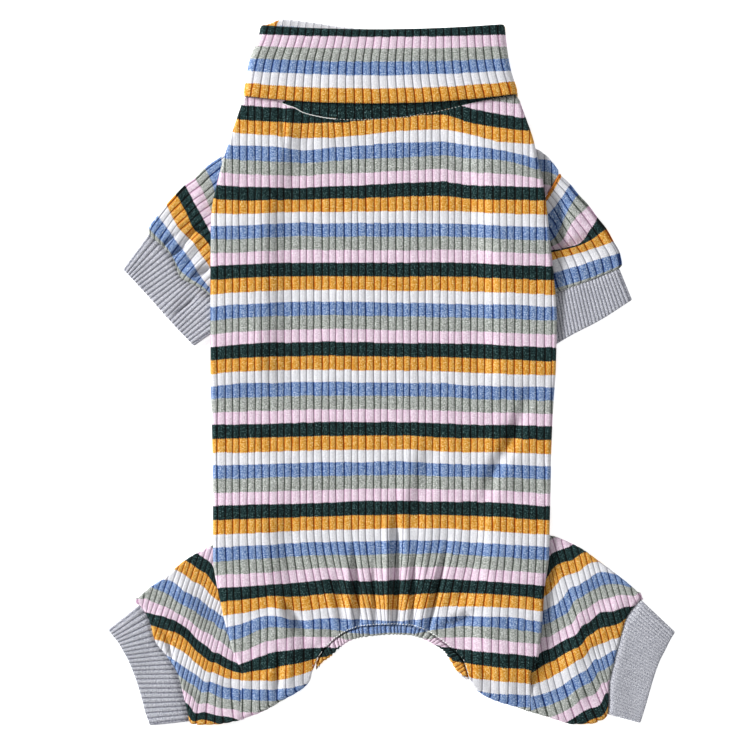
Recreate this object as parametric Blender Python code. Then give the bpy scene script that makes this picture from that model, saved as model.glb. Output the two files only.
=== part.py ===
"""A small dog's pajama suit in flat-ribbed knit, laid flat with its back up.

Every length here is in millimetres until a point becomes a vertex. X runs to the right, Y towards
the collar and Z up, from the middle of the suit's footprint on the surface it lies on.
"""

import math

import bmesh
import bpy
import numpy as np

MM = 0.001
OBJECT_NAME = "dog_pajamas"

# ---------------------------------------------------------------- driving sizes

WALL = 1.5  # thickness of the knit
SEAM_GAP = 0.3  # between two pieces that are sewn together
RIB_HEIGHT = 0.45  # how far a knitted rib stands proud of its grooves
RIB_STEPS = (0.0, 0.5)  # across one rib: its groove, then its crest
BODY_RIBS = 46
BODY_HEIGHT = 4.1  # top of the back panel over the belly, without ribs
LIFT = 2.8  # how much higher the back's sides ride where they lie on a sleeve or a leg
LIFT_REACH = (29.0, 45.0)  # how far in from the side the lift is full, and where it is gone
FOLD_RADIUS = BODY_HEIGHT / 2
FOLD_LIP = 3.0  # cloth turned in under a side fold
NO_LIP = 0.15
PLAIN_TURN = 20.0  # degrees that a plain edge bends down
LIMB_HEIGHT = 3.7  # sleeves and legs, pressed flat, without ribs
LIMB_FOLD = 1.9  # how far a limb's side fold bulges past its flat top
CUFF_HEIGHT = 3.6
CUFF_FOLD = 1.7
FLOOR_WALL = 1.3  # a limb's lower layer
MOST_INSET = 0.45  # of a short station's length, that its folded ends may take up
SEAM_END = 0.06  # share of a leg over which its open cuff seam closes into a fold
HOLLOW_INSET = 0.15  # the hollow's side, inside the edge of the flat top
END_REACH = 3.0  # how far a hollow's cutter runs past an open end
CUT_GAP = 0.6  # clearance of the belly's cut-outs round the limbs
CUT_DEPTH = (-3.0, 6.0)  # a cutter's lowest and highest level
BELLY_HEIGHT = 1.4
CHEST_HEIGHT = 2.9  # the chest cloth folded double at the right shoulder
CHEST_FOLD = 1.2
HEM_HEIGHT = 3.6
HEM_FOLD = 1.5
COLLAR_HEIGHT = 8.6
COLLAR_GAP = 0.3  # between the collar's two layers
COLLAR_RIBS = 30

# ---------------------------------------------------------------- colours

INK_GREEN = (0.010, 0.035, 0.030, 1.0)
MUSTARD = (0.72, 0.34, 0.035, 1.0)
SKY_BLUE = (0.15, 0.26, 0.55, 1.0)
SAGE = (0.34, 0.38, 0.30, 1.0)
PALE_PINK = (0.80, 0.62, 0.74, 1.0)
OFF_WHITE = (0.84, 0.84, 0.86, 1.0)
MELANGE_GREY = (0.38, 0.39, 0.45, 1.0)


def table(columns, *rows):
    """A table as one array for each named column."""
    return dict(zip(columns.split(), np.array(rows, float).T))


# ---------------------------------------------------------------- measured tables

# The back panel's sides, collar to thighs: where the side fold lies, how far it is lifted by what
# lies under it, and how many degrees the cloth turns under there.
BACK_SIDES = table(
    "y left left_lift left_turn right right_lift right_turn",
    (157.0, -84.0, 0.0, 60, 72.0, 0.0, 60),
    (146.0, -87.5, 0.2, 95, 76.0, 0.1, 95),
    (131.0, -92.5, 0.9, 95, 81.0, 1.0, 95),
    (119.5, -96.0, 1.0, 95, 83.5, 1.0, 95),
    (106.0, -99.5, 1.0, 95, 86.5, 1.0, 95),
    (90.0, -102.5, 1.0, 95, 88.5, 1.0, 95),
    (61.0, -103.0, 1.0, 95, 91.5, 1.0, 95),
    (30.0, -103.0, 1.0, 95, 94.0, 1.0, 95),
    (4.0, -103.0, 1.0, 95, 93.5, 1.0, 95),
    (-17.0, -102.5, 0.0, 180, 92.0, 0.0, 180),
    (-40.0, -102.0, 0.0, 180, 91.0, 0.0, 180),
    (-62.0, -101.5, 0.0, 180, 90.5, 0.0, 180),
    (-87.0, -101.5, 1.0, 95, 90.0, 1.0, 95),
    (-105.0, -101.5, 1.0, 95, 89.5, 1.0, 95),
    (-122.0, -99.0, 1.0, 95, 87.0, 1.0, 95),
    (-144.5, -94.0, 1.0, 95, 85.5, 1.0, 95),
    (-163.0, -88.5, 1.0, 95, 83.2, 1.0, 95),
    (-171.0, -84.2, 1.0, 60, 78.9, 1.0, 60),
    (-179.5, -85.0, 0.3, 20, 79.0, 0.3, 20),
    (-187.0, -85.9, 0.0, 20, 79.2, 0.0, 20),
    (-198.0, -87.0, 0.0, 20, 79.5, 0.0, 20),
)

# The neck seam, from the left side to the right.
NECK = table(
    "x y",
    (-84.5, 154.0),
    (-65.5, 153.0),
    (-55.0, 150.5),
    (-43.5, 147.0),
    (-35.0, 145.2),
    (-23.5, 144.2),
    (-8.5, 144.6),
    (15.0, 147.0),
    (34.0, 150.5),
    (46.5, 153.5),
    (62.0, 154.8),
    (72.5, 155.2),
)

# The back panel's lower edge: a thigh, the stitch line of the rump hem, and the other thigh.
BACK_FOOT = table(
    "x y turn",
    (-87.0, -198.0, 60),
    (-80.5, -195.5, 120),
    (-74.0, -193.0, 170),
    (-60.5, -185.5, 180),
    (-52.0, -180.5, 150),
    (-47.5, -176.5, 60),
    (-45.2, -170.0, 20),
    (-42.0, -162.0, 20),
    (-38.0, -156.5, 20),
    (-32.0, -151.0, 20),
    (-23.5, -146.0, 20),
    (-15.0, -144.0, 20),
    (-1.0, -143.2, 20),
    (10.5, -143.8, 20),
    (19.0, -146.3, 20),
    (27.5, -151.0, 20),
    (34.5, -156.5, 20),
    (39.5, -161.5, 20),
    (42.5, -167.0, 20),
    (45.0, -174.5, 20),
    (48.0, -180.0, 60),
    (54.5, -184.5, 150),
    (62.0, -187.5, 180),
    (70.5, -190.0, 170),
    (76.0, -192.0, 100),
    (80.5, -193.5, 60),
)
BACK_ROWS = (0, 0.035, 0.08, 0.19, 0.32, 0.42, 0.48, 0.54, 0.62, 0.69, 0.77, 0.85, 0.92, 0.96, 1)
INNER_COLUMNS = (0, 0.02, 0.05, 0.1, 0.15, 0.2, 0.22, 0.24, 0.26, 0.3, 0.36, 0.43, 0.5)
INNER_COLUMNS += (0.57, 0.64, 0.7, 0.74, 0.77, 0.79, 0.81, 0.85, 0.9, 0.95, 0.98, 1)
GATHER = {"pull": 0.45, "middle": 0.5, "reach": 0.17, "from_row": 0.8}

# Soft ridges (height up) and troughs (height down) that the cloth has fallen into.
FOLDS = table(
    "from_x from_y to_x to_y width height",
    (2.0, -72.0, 2.5, -136.0, 3.0, -0.4),
    (-5.0, -84.0, -4.0, -132.0, 4.0, 0.5),
    (79.0, -7.0, 64.5, -38.0, 6.0, -0.4),
    (64.5, -38.0, 42.0, -81.0, 6.0, -0.4),
    (72.0, -42.0, 50.0, -84.0, 7.0, 0.4),
    (-21.5, -116.0, -19.0, -138.0, 2.4, -0.4),
    (-15.0, -114.0, -14.0, -138.0, 3.0, 0.7),
    (12.5, -122.0, 12.5, -139.0, 2.4, -0.4),
    (20.0, -112.0, 16.0, -139.0, 3.2, 0.7),
    (28.0, -119.0, 19.0, -141.0, 2.6, -0.4),
    (50.0, -136.0, 26.0, -148.0, 3.0, -0.4),
    (52.0, -129.0, 30.0, -142.0, 4.0, 0.8),
    (-66.0, -130.0, -57.0, -146.0, 7.0, 0.9),
    (-56.0, 141.0, -30.0, 128.0, 6.0, 0.5),
    (28.0, 146.0, 38.0, 128.0, 6.0, 0.5),
    (-72.0, -190.0, -64.0, -160.0, 5.0, 0.4),
    (122.0, 80.0, 100.0, 73.0, 3.0, -0.4),
    (124.0, 76.0, 103.0, 68.0, 4.0, 0.9),
    (104.0, 96.0, 110.0, 84.0, 5.0, 0.5),
    (-127.0, 84.0, -117.0, 66.0, 4.0, 0.7),
    (-121.0, 96.0, -112.0, 80.0, 2.6, -0.4),
    (-112.0, 104.0, -108.5, 92.0, 4.0, 0.5),
    (-134.0, -135.0, -121.0, -146.0, 5.0, 0.8),
    (-114.0, -118.0, -107.0, -140.0, 6.0, 0.6),
    (-112.0, -166.0, -104.0, -184.0, 5.0, 0.5),
    (129.0, -130.0, 115.0, -146.0, 5.0, 0.8),
    (113.0, -168.0, 106.0, -186.0, 5.0, 0.5),
)

# A limb is drawn as stations, each a straight line from point a to point b. On a leg or a cuff a
# station is a rib; on a sleeve it is a stripe, from the front fold to the armpit fold.
LEFT_SLEEVE = table(
    "ax ay bx by",
    (-93.0, 126.0, -80.0, 38.5),
    (-106.5, 116.5, -82.0, 37.0),
    (-117.5, 107.5, -84.0, 35.0),
    (-128.0, 96.0, -86.5, 33.5),
    (-136.0, 86.5, -88.5, 32.0),
    (-137.5, 78.5, -91.0, 30.5),
)
RIGHT_SLEEVE = table(
    "ax ay bx by",
    (96.5, 112.5, 64.5, 63.0),
    (106.5, 102.0, 67.5, 55.5),
    (117.5, 88.5, 71.5, 49.5),
    (122.5, 81.5, 74.0, 46.0),
    (131.0, 67.0, 77.5, 42.0),
    (130.0, 59.5, 80.0, 40.5),
)
LEFT_SLEEVE_CUFF = table(
    "ax ay bx by",
    (-137.8, 78.0, -153.0, 59.0),
    (-126.0, 65.6, -143.0, 48.0),
    (-114.5, 54.0, -133.0, 37.0),
    (-103.0, 42.3, -122.8, 26.0),
    (-91.3, 30.1, -112.5, 15.0),
)
RIGHT_SLEEVE_CUFF = table(
    "ax ay bx by",
    (129.8, 59.1, 137.0, 41.5),
    (113.0, 52.5, 119.0, 30.0),
    (96.0, 46.0, 101.0, 20.5),
    (80.2, 39.7, 85.0, 10.5),
)
LEFT_LEG = table(
    "ax ay bx by",
    (-144.5, -128.0, -143.5, -132.0),
    (-137.5, -122.0, -140.5, -136.0),
    (-128.5, -116.0, -137.5, -142.0),
    (-119.5, -108.0, -134.6, -152.5),
    (-109.0, -101.5, -128.1, -161.0),
    (-99.0, -97.0, -122.0, -170.5),
    (-92.5, -96.0, -118.8, -182.0),
    (-87.0, -95.5, -116.0, -193.5),
    (-85.0, -95.5, -114.5, -199.3),
    (-83.0, -95.5, -110.5, -200.6),
    (-80.0, -95.5, -100.5, -200.4),
    (-78.0, -95.5, -88.4, -198.4),
)
LEFT_LEG_SEAM = 8.3  # the station where the left leg's cuff seam ends
RIGHT_LEG = table(
    "ax ay bx by",
    (140.0, -124.5, 141.5, -129.0),
    (135.0, -120.0, 139.0, -132.0),
    (125.5, -112.5, 133.5, -140.0),
    (116.0, -105.5, 129.8, -152.5),
    (109.0, -100.5, 126.6, -165.0),
    (100.5, -96.0, 123.6, -179.5),
    (91.0, -92.5, 123.4, -190.0),
    (87.5, -92.0, 122.5, -195.5),
    (85.0, -92.0, 113.0, -200.0),
    (83.0, -92.0, 103.0, -200.2),
    (81.0, -92.0, 96.0, -198.5),
    (79.5, -92.0, 89.0, -196.2),
    (78.0, -92.0, 81.6, -194.0),
)
RIGHT_LEG_SEAM = 7.3
LEFT_LEG_CUFF = table(
    "ax ay bx by",
    (-144.3, -132.6, -161.5, -146.0),
    (-141.0, -136.8, -157.5, -151.0),
    (-138.2, -142.6, -153.5, -157.5),
    (-135.4, -152.8, -149.5, -165.0),
    (-128.9, -161.4, -146.5, -172.5),
    (-122.8, -170.8, -143.8, -180.0),
    (-119.6, -182.2, -141.3, -190.0),
    (-116.8, -193.6, -138.8, -197.5),
    (-115.6, -198.6, -137.5, -201.0),
)
RIGHT_LEG_CUFF = table(
    "ax ay bx by",
    (142.2, -129.3, 161.5, -147.5),
    (139.8, -132.4, 158.0, -153.5),
    (134.3, -140.2, 154.5, -160.5),
    (130.6, -152.8, 150.5, -169.5),
    (127.4, -165.2, 147.8, -178.5),
    (124.4, -179.6, 145.0, -188.5),
    (124.2, -190.0, 142.5, -196.5),
    (123.6, -194.6, 141.5, -199.5),
)
SLEEVE_RIBS = 14
LEG_RIBS = 14
CUFF_RIBS = 15

# The rump hem, from thigh to thigh: a on the open edge, b on the stitch line.
TAIL_HEM = table(
    "ax ay bx by",
    (-41.5, -169.8, -43.3, -168.5),
    (-39.6, -165.4, -41.0, -162.9),
    (-34.6, -161.8, -37.2, -157.0),
    (-30.1, -157.4, -31.7, -151.7),
    (-22.1, -152.2, -23.4, -146.9),
    (-14.5, -150.6, -15.0, -144.9),
    (-0.5, -149.3, -0.9, -144.1),
    (10.0, -149.5, 10.4, -144.7),
    (16.5, -151.4, 18.8, -147.2),
    (23.3, -154.6, 27.1, -151.9),
    (29.4, -158.3, 33.8, -157.3),
    (33.3, -164.2, 38.9, -162.0),
    (37.3, -170.5, 41.8, -167.5),
    (40.8, -175.0, 44.2, -174.6),
)
HEM_GATHERS = 27

# The collar, seen from above: its turned-down free edge, half way up, and its upper fold. The neck
# row is where the collar's inner layer is sewn to the body.
COLLAR_PLAN = table(
    "left right left_y middle_y right_y",
    (-84.3, 72.0, 157.3, 153.1, 158.6),
    (-80.8, 66.7, 177.0, 175.0, 177.0),
    (-75.2, 64.7, 192.5, 191.0, 192.5),
    (-74.3, 64.2, 197.5, 195.2, 198.2),
)
EDGE, HALFWAY, SHOULDER, CROWN = range(4)
FRONT_PEEK = {"x": -61.5, "height": 4.6, "width": 17.0}  # the front's fold shows past the back's

# The right shoulder's folded chest cloth, rib by rib: a on its outer fold, b towards the sleeve.
CHEST_FLAP = table(
    "ax ay bx by",
    (70.3, 128.6, 70.3, 75.7),
    (76.0, 129.0, 76.0, 84.0),
    (80.5, 128.5, 80.5, 90.0),
    (84.5, 126.5, 84.5, 96.0),
    (88.5, 123.6, 88.5, 101.5),
    (92.0, 119.5, 92.0, 107.0),
    (95.0, 115.5, 95.0, 111.5),
)
CHEST_RIBS = 6
CHEST_SINK = 0.4  # the flap is built this far below the surface and cut off level with it
SURFACE = np.array([(-120.0, -210.0), (120.0, -210.0), (120.0, 180.0), (-120.0, 180.0)])


# ---------------------------------------------------------------- curves and relief


def smooth(xs, ys):
    """The curve through the points that never swings past them."""
    order = np.argsort(xs)
    xs, ys = np.asarray(xs, float)[order], np.asarray(ys, float)[order]
    step = np.diff(xs)
    slope = np.diff(ys) / step
    before, after = slope[:-1], slope[1:]
    rising = before * after > 0
    tangent = np.concatenate([slope[:1], np.zeros(len(xs) - 2), slope[-1:]])
    tangent[1:-1][rising] = (2 * before * after / np.where(rising, before + after, 1))[rising]

    def curve(x):
        x = np.clip(x, xs[0], xs[-1])
        i = np.clip(np.searchsorted(xs, x, side="right") - 1, 0, len(step) - 1)
        t = (x - xs[i]) / step[i]
        start = (1 + 2 * t) * (1 - t) ** 2 * ys[i] + t * (1 - t) ** 2 * step[i] * tangent[i]
        end = t * t * (3 - 2 * t) * ys[i + 1] + t * t * (t - 1) * step[i] * tangent[i + 1]
        return start + end

    return curve


def ease(low, high, value):
    """0 below low, 1 above high and a soft step between them."""
    t = np.clip((value - low) / (high - low), 0, 1)
    return t * t * (3 - 2 * t)


def rib_stops(ribs):
    """Where grooves and crests lie across a ribbed piece, from 0 to 1, and how high each stands."""
    stops = [(rib + step, step > 0) for rib in range(ribs) for step in RIB_STEPS] + [(ribs, False)]
    across, crest = np.array(stops, float).T
    return across / ribs, crest * RIB_HEIGHT


def fold_height(x, y):
    """How far the cloth's large soft folds raise or lower the point."""
    height = np.zeros(np.shape(x))
    for ax, ay, bx, by, width, rise in zip(*FOLDS.values()):
        run = (bx - ax) ** 2 + (by - ay) ** 2
        along = ((x - ax) * (bx - ax) + (y - ay) * (by - ay)) / run
        near = np.clip(along, 0, 1)
        distance = np.hypot(x - ax - near * (bx - ax), y - ay - near * (by - ay))
        height = height + rise * np.exp(-((distance / width) ** 2))
    return height


# ---------------------------------------------------------------- meshes from grids and rings


def add_points(mesh, points):
    """The points' vertices, in an array of the same shape."""
    points = np.asarray(points, float)
    vertices = np.empty(points.shape[:-1], object)
    for index in np.ndindex(vertices.shape):
        vertices[index] = mesh.verts.new(points[index] * MM)
    return vertices


def fill_grid(mesh, grid):
    for upper, lower in zip(grid[:-1], grid[1:]):
        for i in range(len(upper) - 1):
            mesh.faces.new((upper[i], upper[i + 1], lower[i + 1], lower[i]))


def border(grid):
    """A grid's edge as one closed ring: first row, last column, last row back, first column back."""
    return np.concatenate([grid[0], grid[1:, -1], grid[-1, -2::-1], grid[-2:0:-1, 0]])


def border_progress(across, along):
    """How far round its grid each border point lies, a whole number at each corner."""
    return np.concatenate([across, 1 + along[1:], 3 - across[-2::-1], 4 - along[-2:0:-1]])


def join_rings(mesh, ring_a, ring_b):
    for i in range(len(ring_a)):
        mesh.faces.new((ring_a[i - 1], ring_a[i], ring_b[i], ring_b[i - 1]))


def zip_rings(mesh, ring_a, progress_a, ring_b, progress_b):
    """Joins two rings of unlike counts with triangles, stepping on the one that lags."""
    whole = np.ceil(max(progress_a[-1], progress_b[-1]))
    stops_a, stops_b = np.append(progress_a, whole), np.append(progress_b, whole)
    i = j = 0
    while i < len(ring_a) or j < len(ring_b):
        a, b = ring_a[i % len(ring_a)], ring_b[j % len(ring_b)]
        if j == len(ring_b) or (i < len(ring_a) and stops_a[i + 1] <= stops_b[j + 1]):
            i += 1
            mesh.faces.new((a, ring_a[i % len(ring_a)], b))
        else:
            j += 1
            mesh.faces.new((a, ring_b[j % len(ring_b)], b))


def outward(ring, weight=1.0):
    """Unit normals, seen from above, out of a closed ring of x, y points.

    A point between a side of weight 1 and a side of weight 0 faces the way the first one does.
    """
    edge = np.roll(ring, -1, axis=0) - ring
    area = np.sum(ring[:, 0] * np.roll(ring[:, 1], -1) - np.roll(ring[:, 0], -1) * ring[:, 1])
    weight = np.broadcast_to(weight, len(ring))
    share = np.minimum(weight, np.roll(weight, -1)) + 0.001
    edge *= (share / np.linalg.norm(edge, axis=1))[:, None]
    along = edge + np.roll(edge, 1, axis=0)
    along /= np.linalg.norm(along, axis=1)[:, None]
    return np.sign(area) * np.stack([along[:, 1], -along[:, 0]], axis=1)


def finish_object(mesh, name, material, collection):
    """Turns the mesh's faces outwards and gives it an object, a material and soft shading."""
    bmesh.ops.recalc_face_normals(mesh, faces=mesh.faces[:])
    data = bpy.data.meshes.new(name)
    mesh.to_mesh(data)
    mesh.free()
    data.materials.append(material)
    data.shade_smooth()
    data.set_sharp_from_angle(angle=math.radians(50))
    piece = bpy.data.objects.new(name, data)
    collection.objects.link(piece)
    return piece


def make_material(name, colour, roughness):
    material = bpy.data.materials.new(name)
    material.use_nodes = True
    material.diffuse_color = colour
    shader = material.node_tree.nodes["Principled BSDF"]
    shader.inputs["Base Color"].default_value = colour
    shader.inputs["Roughness"].default_value = roughness
    shader.inputs["Metallic"].default_value = 0.0
    return material


# ---------------------------------------------------------------- the back panel

SIDE = {name: smooth(BACK_SIDES["y"], BACK_SIDES[name]) for name in BACK_SIDES if name != "y"}
NECK_Y = smooth(NECK["x"], NECK["y"])
FOOT_Y = smooth(BACK_FOOT["x"], BACK_FOOT["y"])
FOOT_TURN = smooth(BACK_FOOT["x"], BACK_FOOT["turn"])


def side_inset(turn):
    """How far inside the outline the flat top must end for its edge to curl out to the outline."""
    return FOLD_RADIUS * np.sin(np.radians(np.minimum(turn, 90)))


def back_sides(y, margin, curled):
    """The x of the back panel's left and right sides."""
    left, right = SIDE["left"](y) + margin, SIDE["right"](y) - margin
    if curled:
        left = left + side_inset(SIDE["left_turn"](y))
        right = right - side_inset(SIDE["right_turn"](y))
    return left, right


def back_plan(across, along, side_margin=0.0, foot_margin=0.0, curled=True):
    """Where a point of the back lies: across from left to right, along from neck to foot."""
    s, t = np.meshgrid(across, along)
    grown = ease(GATHER["from_row"], 1, t)
    from_middle = s - GATHER["middle"]
    s = s - GATHER["pull"] * grown * from_middle * np.exp(-((from_middle / GATHER["reach"]) ** 2))
    neck_x = NECK["x"][0] + s * (NECK["x"][-1] - NECK["x"][0])
    corner_left, corner_right = back_sides(BACK_FOOT["y"][[0, -1]], side_margin, curled)
    foot_x = corner_left[0] + s * (corner_right[1] - corner_left[0])
    slant = np.sqrt(1 + (FOOT_Y(foot_x + 0.5) - FOOT_Y(foot_x - 0.5)) ** 2)
    curl = side_inset(FOOT_TURN(foot_x)) if curled else 0
    neck = NECK_Y(neck_x) - SEAM_GAP - (1.1 * side_inset(PLAIN_TURN) if curled else 0)
    foot = FOOT_Y(foot_x) + (curl + foot_margin) * slant
    y = neck + t * (foot - neck)
    left, right = back_sides(y, side_margin, curled)
    foot_left, foot_right = back_sides(foot, side_margin, curled)
    onto_foot = foot_x - foot_left - s * (foot_right - foot_left)
    return left + s * (right - left) + ease(0.4, 1, t) * onto_foot, y


def back_height(x, y):
    """The back panel's top, without ribs: the belly's level, lifted where a limb lies under it."""
    from_left, from_right = x - SIDE["left"](y), SIDE["right"](y) - x
    lift_left = SIDE["left_lift"](y) * (1 - ease(*LIFT_REACH, from_left))
    lift_right = SIDE["right_lift"](y) * (1 - ease(*LIFT_REACH, from_right))
    return BODY_HEIGHT + LIFT * (lift_left + lift_right) + fold_height(x, y)


def back_surface(mesh, across, along, relief, depth):
    """One face of the back panel's wall, depth below its top, with rings that curl its edges under."""
    x, y = back_plan(across, along)
    top = back_height(x, y)
    relief = np.broadcast_to(relief, x.shape)
    grid = add_points(mesh, np.stack([x, y, top - depth + relief], axis=2))
    fill_grid(mesh, grid)
    ring_xy = np.stack([border(x), border(y)], axis=1)
    normal = outward(ring_xy)
    progress = border_progress(across, along)
    side = np.floor(progress) % 4
    turns = [np.full(len(side), PLAIN_TURN), SIDE["right_turn"](ring_xy[:, 1])]
    turns += [FOOT_TURN(ring_xy[:, 0]), SIDE["left_turn"](ring_xy[:, 1])]
    turn = np.radians(np.choose(side.astype(int), turns))
    lip = NO_LIP + FOLD_LIP * ease(math.radians(140), math.pi, turn)
    centre = border(top) - FOLD_RADIUS
    ring = border(grid)
    for share in (0.5, 1):
        angle = turn * share
        radius = FOLD_RADIUS - depth + border(relief) * (1 - share**2)
        z = np.maximum(centre + radius * np.cos(angle), depth)
        ring = add_ring(mesh, ring, ring_xy, normal, radius * np.sin(angle), z)
    radius = FOLD_RADIUS - depth
    reach = radius * np.sin(turn) + lip * np.cos(turn)
    z = np.maximum(centre + radius * np.cos(turn) - lip * np.sin(turn), depth)
    return add_ring(mesh, ring, ring_xy, normal, reach, z), progress


def add_ring(mesh, ring, ring_xy, normal, reach, z):
    """A further ring of vertices, joined to the last one."""
    points = np.column_stack([ring_xy + normal * reach[:, None], z])
    new_ring = add_points(mesh, points)
    join_rings(mesh, ring, new_ring)
    return new_ring


def make_back_panel():
    mesh = bmesh.new()
    ribs, relief = rib_stops(BODY_RIBS)
    outer = back_surface(mesh, ribs, np.array(BACK_ROWS), relief, 0)
    inner = back_surface(mesh, np.array(INNER_COLUMNS), np.array(BACK_ROWS), 0.0, WALL)
    zip_rings(mesh, *outer, *inner)
    return mesh


# ---------------------------------------------------------------- limbs, cuffs and hem


class Limb:
    """A pressed-flat tube or band: its plan, which sides are folds, and its height."""

    def __init__(self, rows, height, fold, folds="ab", seam_end=None):
        self.rows = rows
        self.height = height
        self.fold = fold
        self.folds = folds
        self.seam = None if seam_end is None else seam_end / (len(rows["ax"]) - 1)
        stations = np.linspace(0, 1, len(rows["ax"]))
        self.curves = [smooth(stations, rows[name]) for name in ("ax", "ay", "bx", "by")]

    def ends(self, q):
        """Points a and b of the station at q, which may run past the first or the last one."""
        beyond = q - np.clip(q, 0, 1)
        ax, ay, bx, by = (c(q) + beyond * (c(1) - c(0)) for c in self.curves)
        return np.stack([ax, ay], axis=-1), np.stack([bx, by], axis=-1)

    def fold_at_b(self, q):
        """1 where the b side is a fold, 0 where it is a seam or an opening."""
        if "b" not in self.folds:
            return np.zeros(np.shape(q))
        return np.ones(np.shape(q)) if self.seam is None else ease(self.seam, self.seam + SEAM_END, q)

    def limits(self, inset, reach, q):
        """The plan's range along each station: inset at a fold, reached past at an open side."""
        a, b = self.ends(q)
        length = np.linalg.norm(b - a, axis=-1)
        at_a = inset if "a" in self.folds else -reach
        at_b = inset * self.fold_at_b(q) - reach * (1 - self.fold_at_b(q))
        return np.minimum(at_a / length, MOST_INSET), 1 - np.minimum(at_b / length, MOST_INSET)

    def station_limits(self, inset, reach):
        """The plan's range of stations, inset or reached past in the same way."""
        a, b = self.ends(np.array([0.0, 0.1, 0.9, 1.0]))
        middle = (a + b) / 2
        first, last = np.linalg.norm(np.diff(middle, axis=0), axis=1)[[0, 2]] / 0.1
        at_first = inset if "first" in self.folds else -reach
        at_last = inset if "last" in self.folds else -reach
        return at_first / first, 1 - at_last / last

    def plan(self, across, along, inset, reach):
        """Grid of x, y points: across are stations from 0 to 1, along runs from a to b."""
        low, high = self.station_limits(inset, reach)
        q = low + across * (high - low)
        start, stop = self.limits(inset, reach, q)
        a, b = self.ends(q)
        w = start + along[:, None] * (stop - start)
        return a + w[..., None] * (b - a)

    def fold_weight(self, across, along):
        """1 at a border point on a fold, 0 on an open side, in the order of border()."""
        weight = np.zeros((len(along), len(across)))
        weight[0] = "a" in self.folds
        weight[-1] = self.fold_at_b(across)
        if "first" in self.folds:
            weight[:, 0] = 1
        if "last" in self.folds:
            weight[:, -1] = 1
        return border(weight)


def make_pillow(limb, across, along, relief):
    """A closed form with a flat underside, rounded at its folds and upright at its open sides."""
    mesh = bmesh.new()
    plan = limb.plan(across, along, limb.fold, 0)
    relief = np.broadcast_to(relief, plan.shape[:2])
    top = limb.height + fold_height(plan[..., 0], plan[..., 1])
    grid = add_points(mesh, np.dstack([plan, top + relief]))
    fill_grid(mesh, grid)
    ring_xy = border(plan)
    weight = limb.fold_weight(across, along)
    normal = outward(ring_xy, weight)
    bulge = limb.fold * weight
    ring, rib, height = border(grid), border(relief), border(top)
    for angle in (60, 120, 180):
        fade = 1 - angle / 180
        turn = math.radians(angle)
        reach = (bulge + rib * fade * (bulge > 0)) * math.sin(turn)
        z = height / 2 + (height / 2 + rib * fade) * math.cos(turn)
        ring = add_ring(mesh, ring, ring_xy, normal, reach, z)
    mesh.faces.new(ring)
    return mesh


def make_prism(outline, low, high):
    mesh = bmesh.new()
    floor = mesh.faces.new(add_points(mesh, np.column_stack([outline, np.full(len(outline), low)])))
    sides = bmesh.ops.extrude_face_region(mesh, geom=[floor])["geom"]
    raised = [item for item in sides if isinstance(item, bmesh.types.BMVert)]
    bmesh.ops.translate(mesh, vec=(0, 0, (high - low) * MM), verts=raised)
    return mesh


def cut(piece, cutter, operation="DIFFERENCE"):
    modifier = piece.modifiers.new(cutter.name, "BOOLEAN")
    modifier.operation = operation
    modifier.object = cutter


def make_cutter(mesh, name, material, cutters):
    cutter = finish_object(mesh, name, material, cutters)
    cutter.hide_render = True
    cutter.display_type = "WIRE"
    return cutter


def make_tube(name, limb, across, along, relief, material, parts, cutters):
    """A limb or cuff with its flat hollow cut through from end to end."""
    piece = finish_object(make_pillow(limb, across, along, relief), name, material, parts)
    coarse = np.linspace(0, 1, 12)
    hollow = border(limb.plan(coarse, np.array([0.0, 1.0]), limb.fold + HOLLOW_INSET, END_REACH))
    mesh = make_prism(hollow, FLOOR_WALL, limb.height - WALL)
    cut(piece, make_cutter(mesh, name + "_hollow", material, cutters))
    return piece


def footprint(limb, gap):
    """The limb's outline on the surface, grown by a gap."""
    coarse = np.linspace(0, 1, 16)
    rows = np.array([0.0, 0.04, 0.5, 0.96, 1.0])
    ring = border(limb.plan(coarse, rows, limb.fold, 0))
    weight = limb.fold_weight(coarse, rows)
    return ring + outward(ring) * gap + outward(ring, weight) * (limb.fold * weight)[:, None]


def make_tail_hem():
    """The turned hem over its elastic, a solid roll with gathers across it."""
    limb = Limb(TAIL_HEM, HEM_HEIGHT, HEM_FOLD, folds="ab first last")
    across, relief = rib_stops(HEM_GATHERS)
    return make_pillow(limb, across, np.array([0.0, 0.5, 1.0]), relief)


# ---------------------------------------------------------------- belly and collar


def belly_outline():
    """The belly's plan, inside the cloth that the back's side folds turn under."""
    inside = FOLD_RADIUS + FOLD_LIP + 3 * SEAM_GAP
    across, along = np.linspace(0, 1, 31), np.linspace(0.006, 1, 25)
    x, y = back_plan(across, along, inside, inside, curled=False)
    return np.stack([border(x), border(y)], axis=1)


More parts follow.
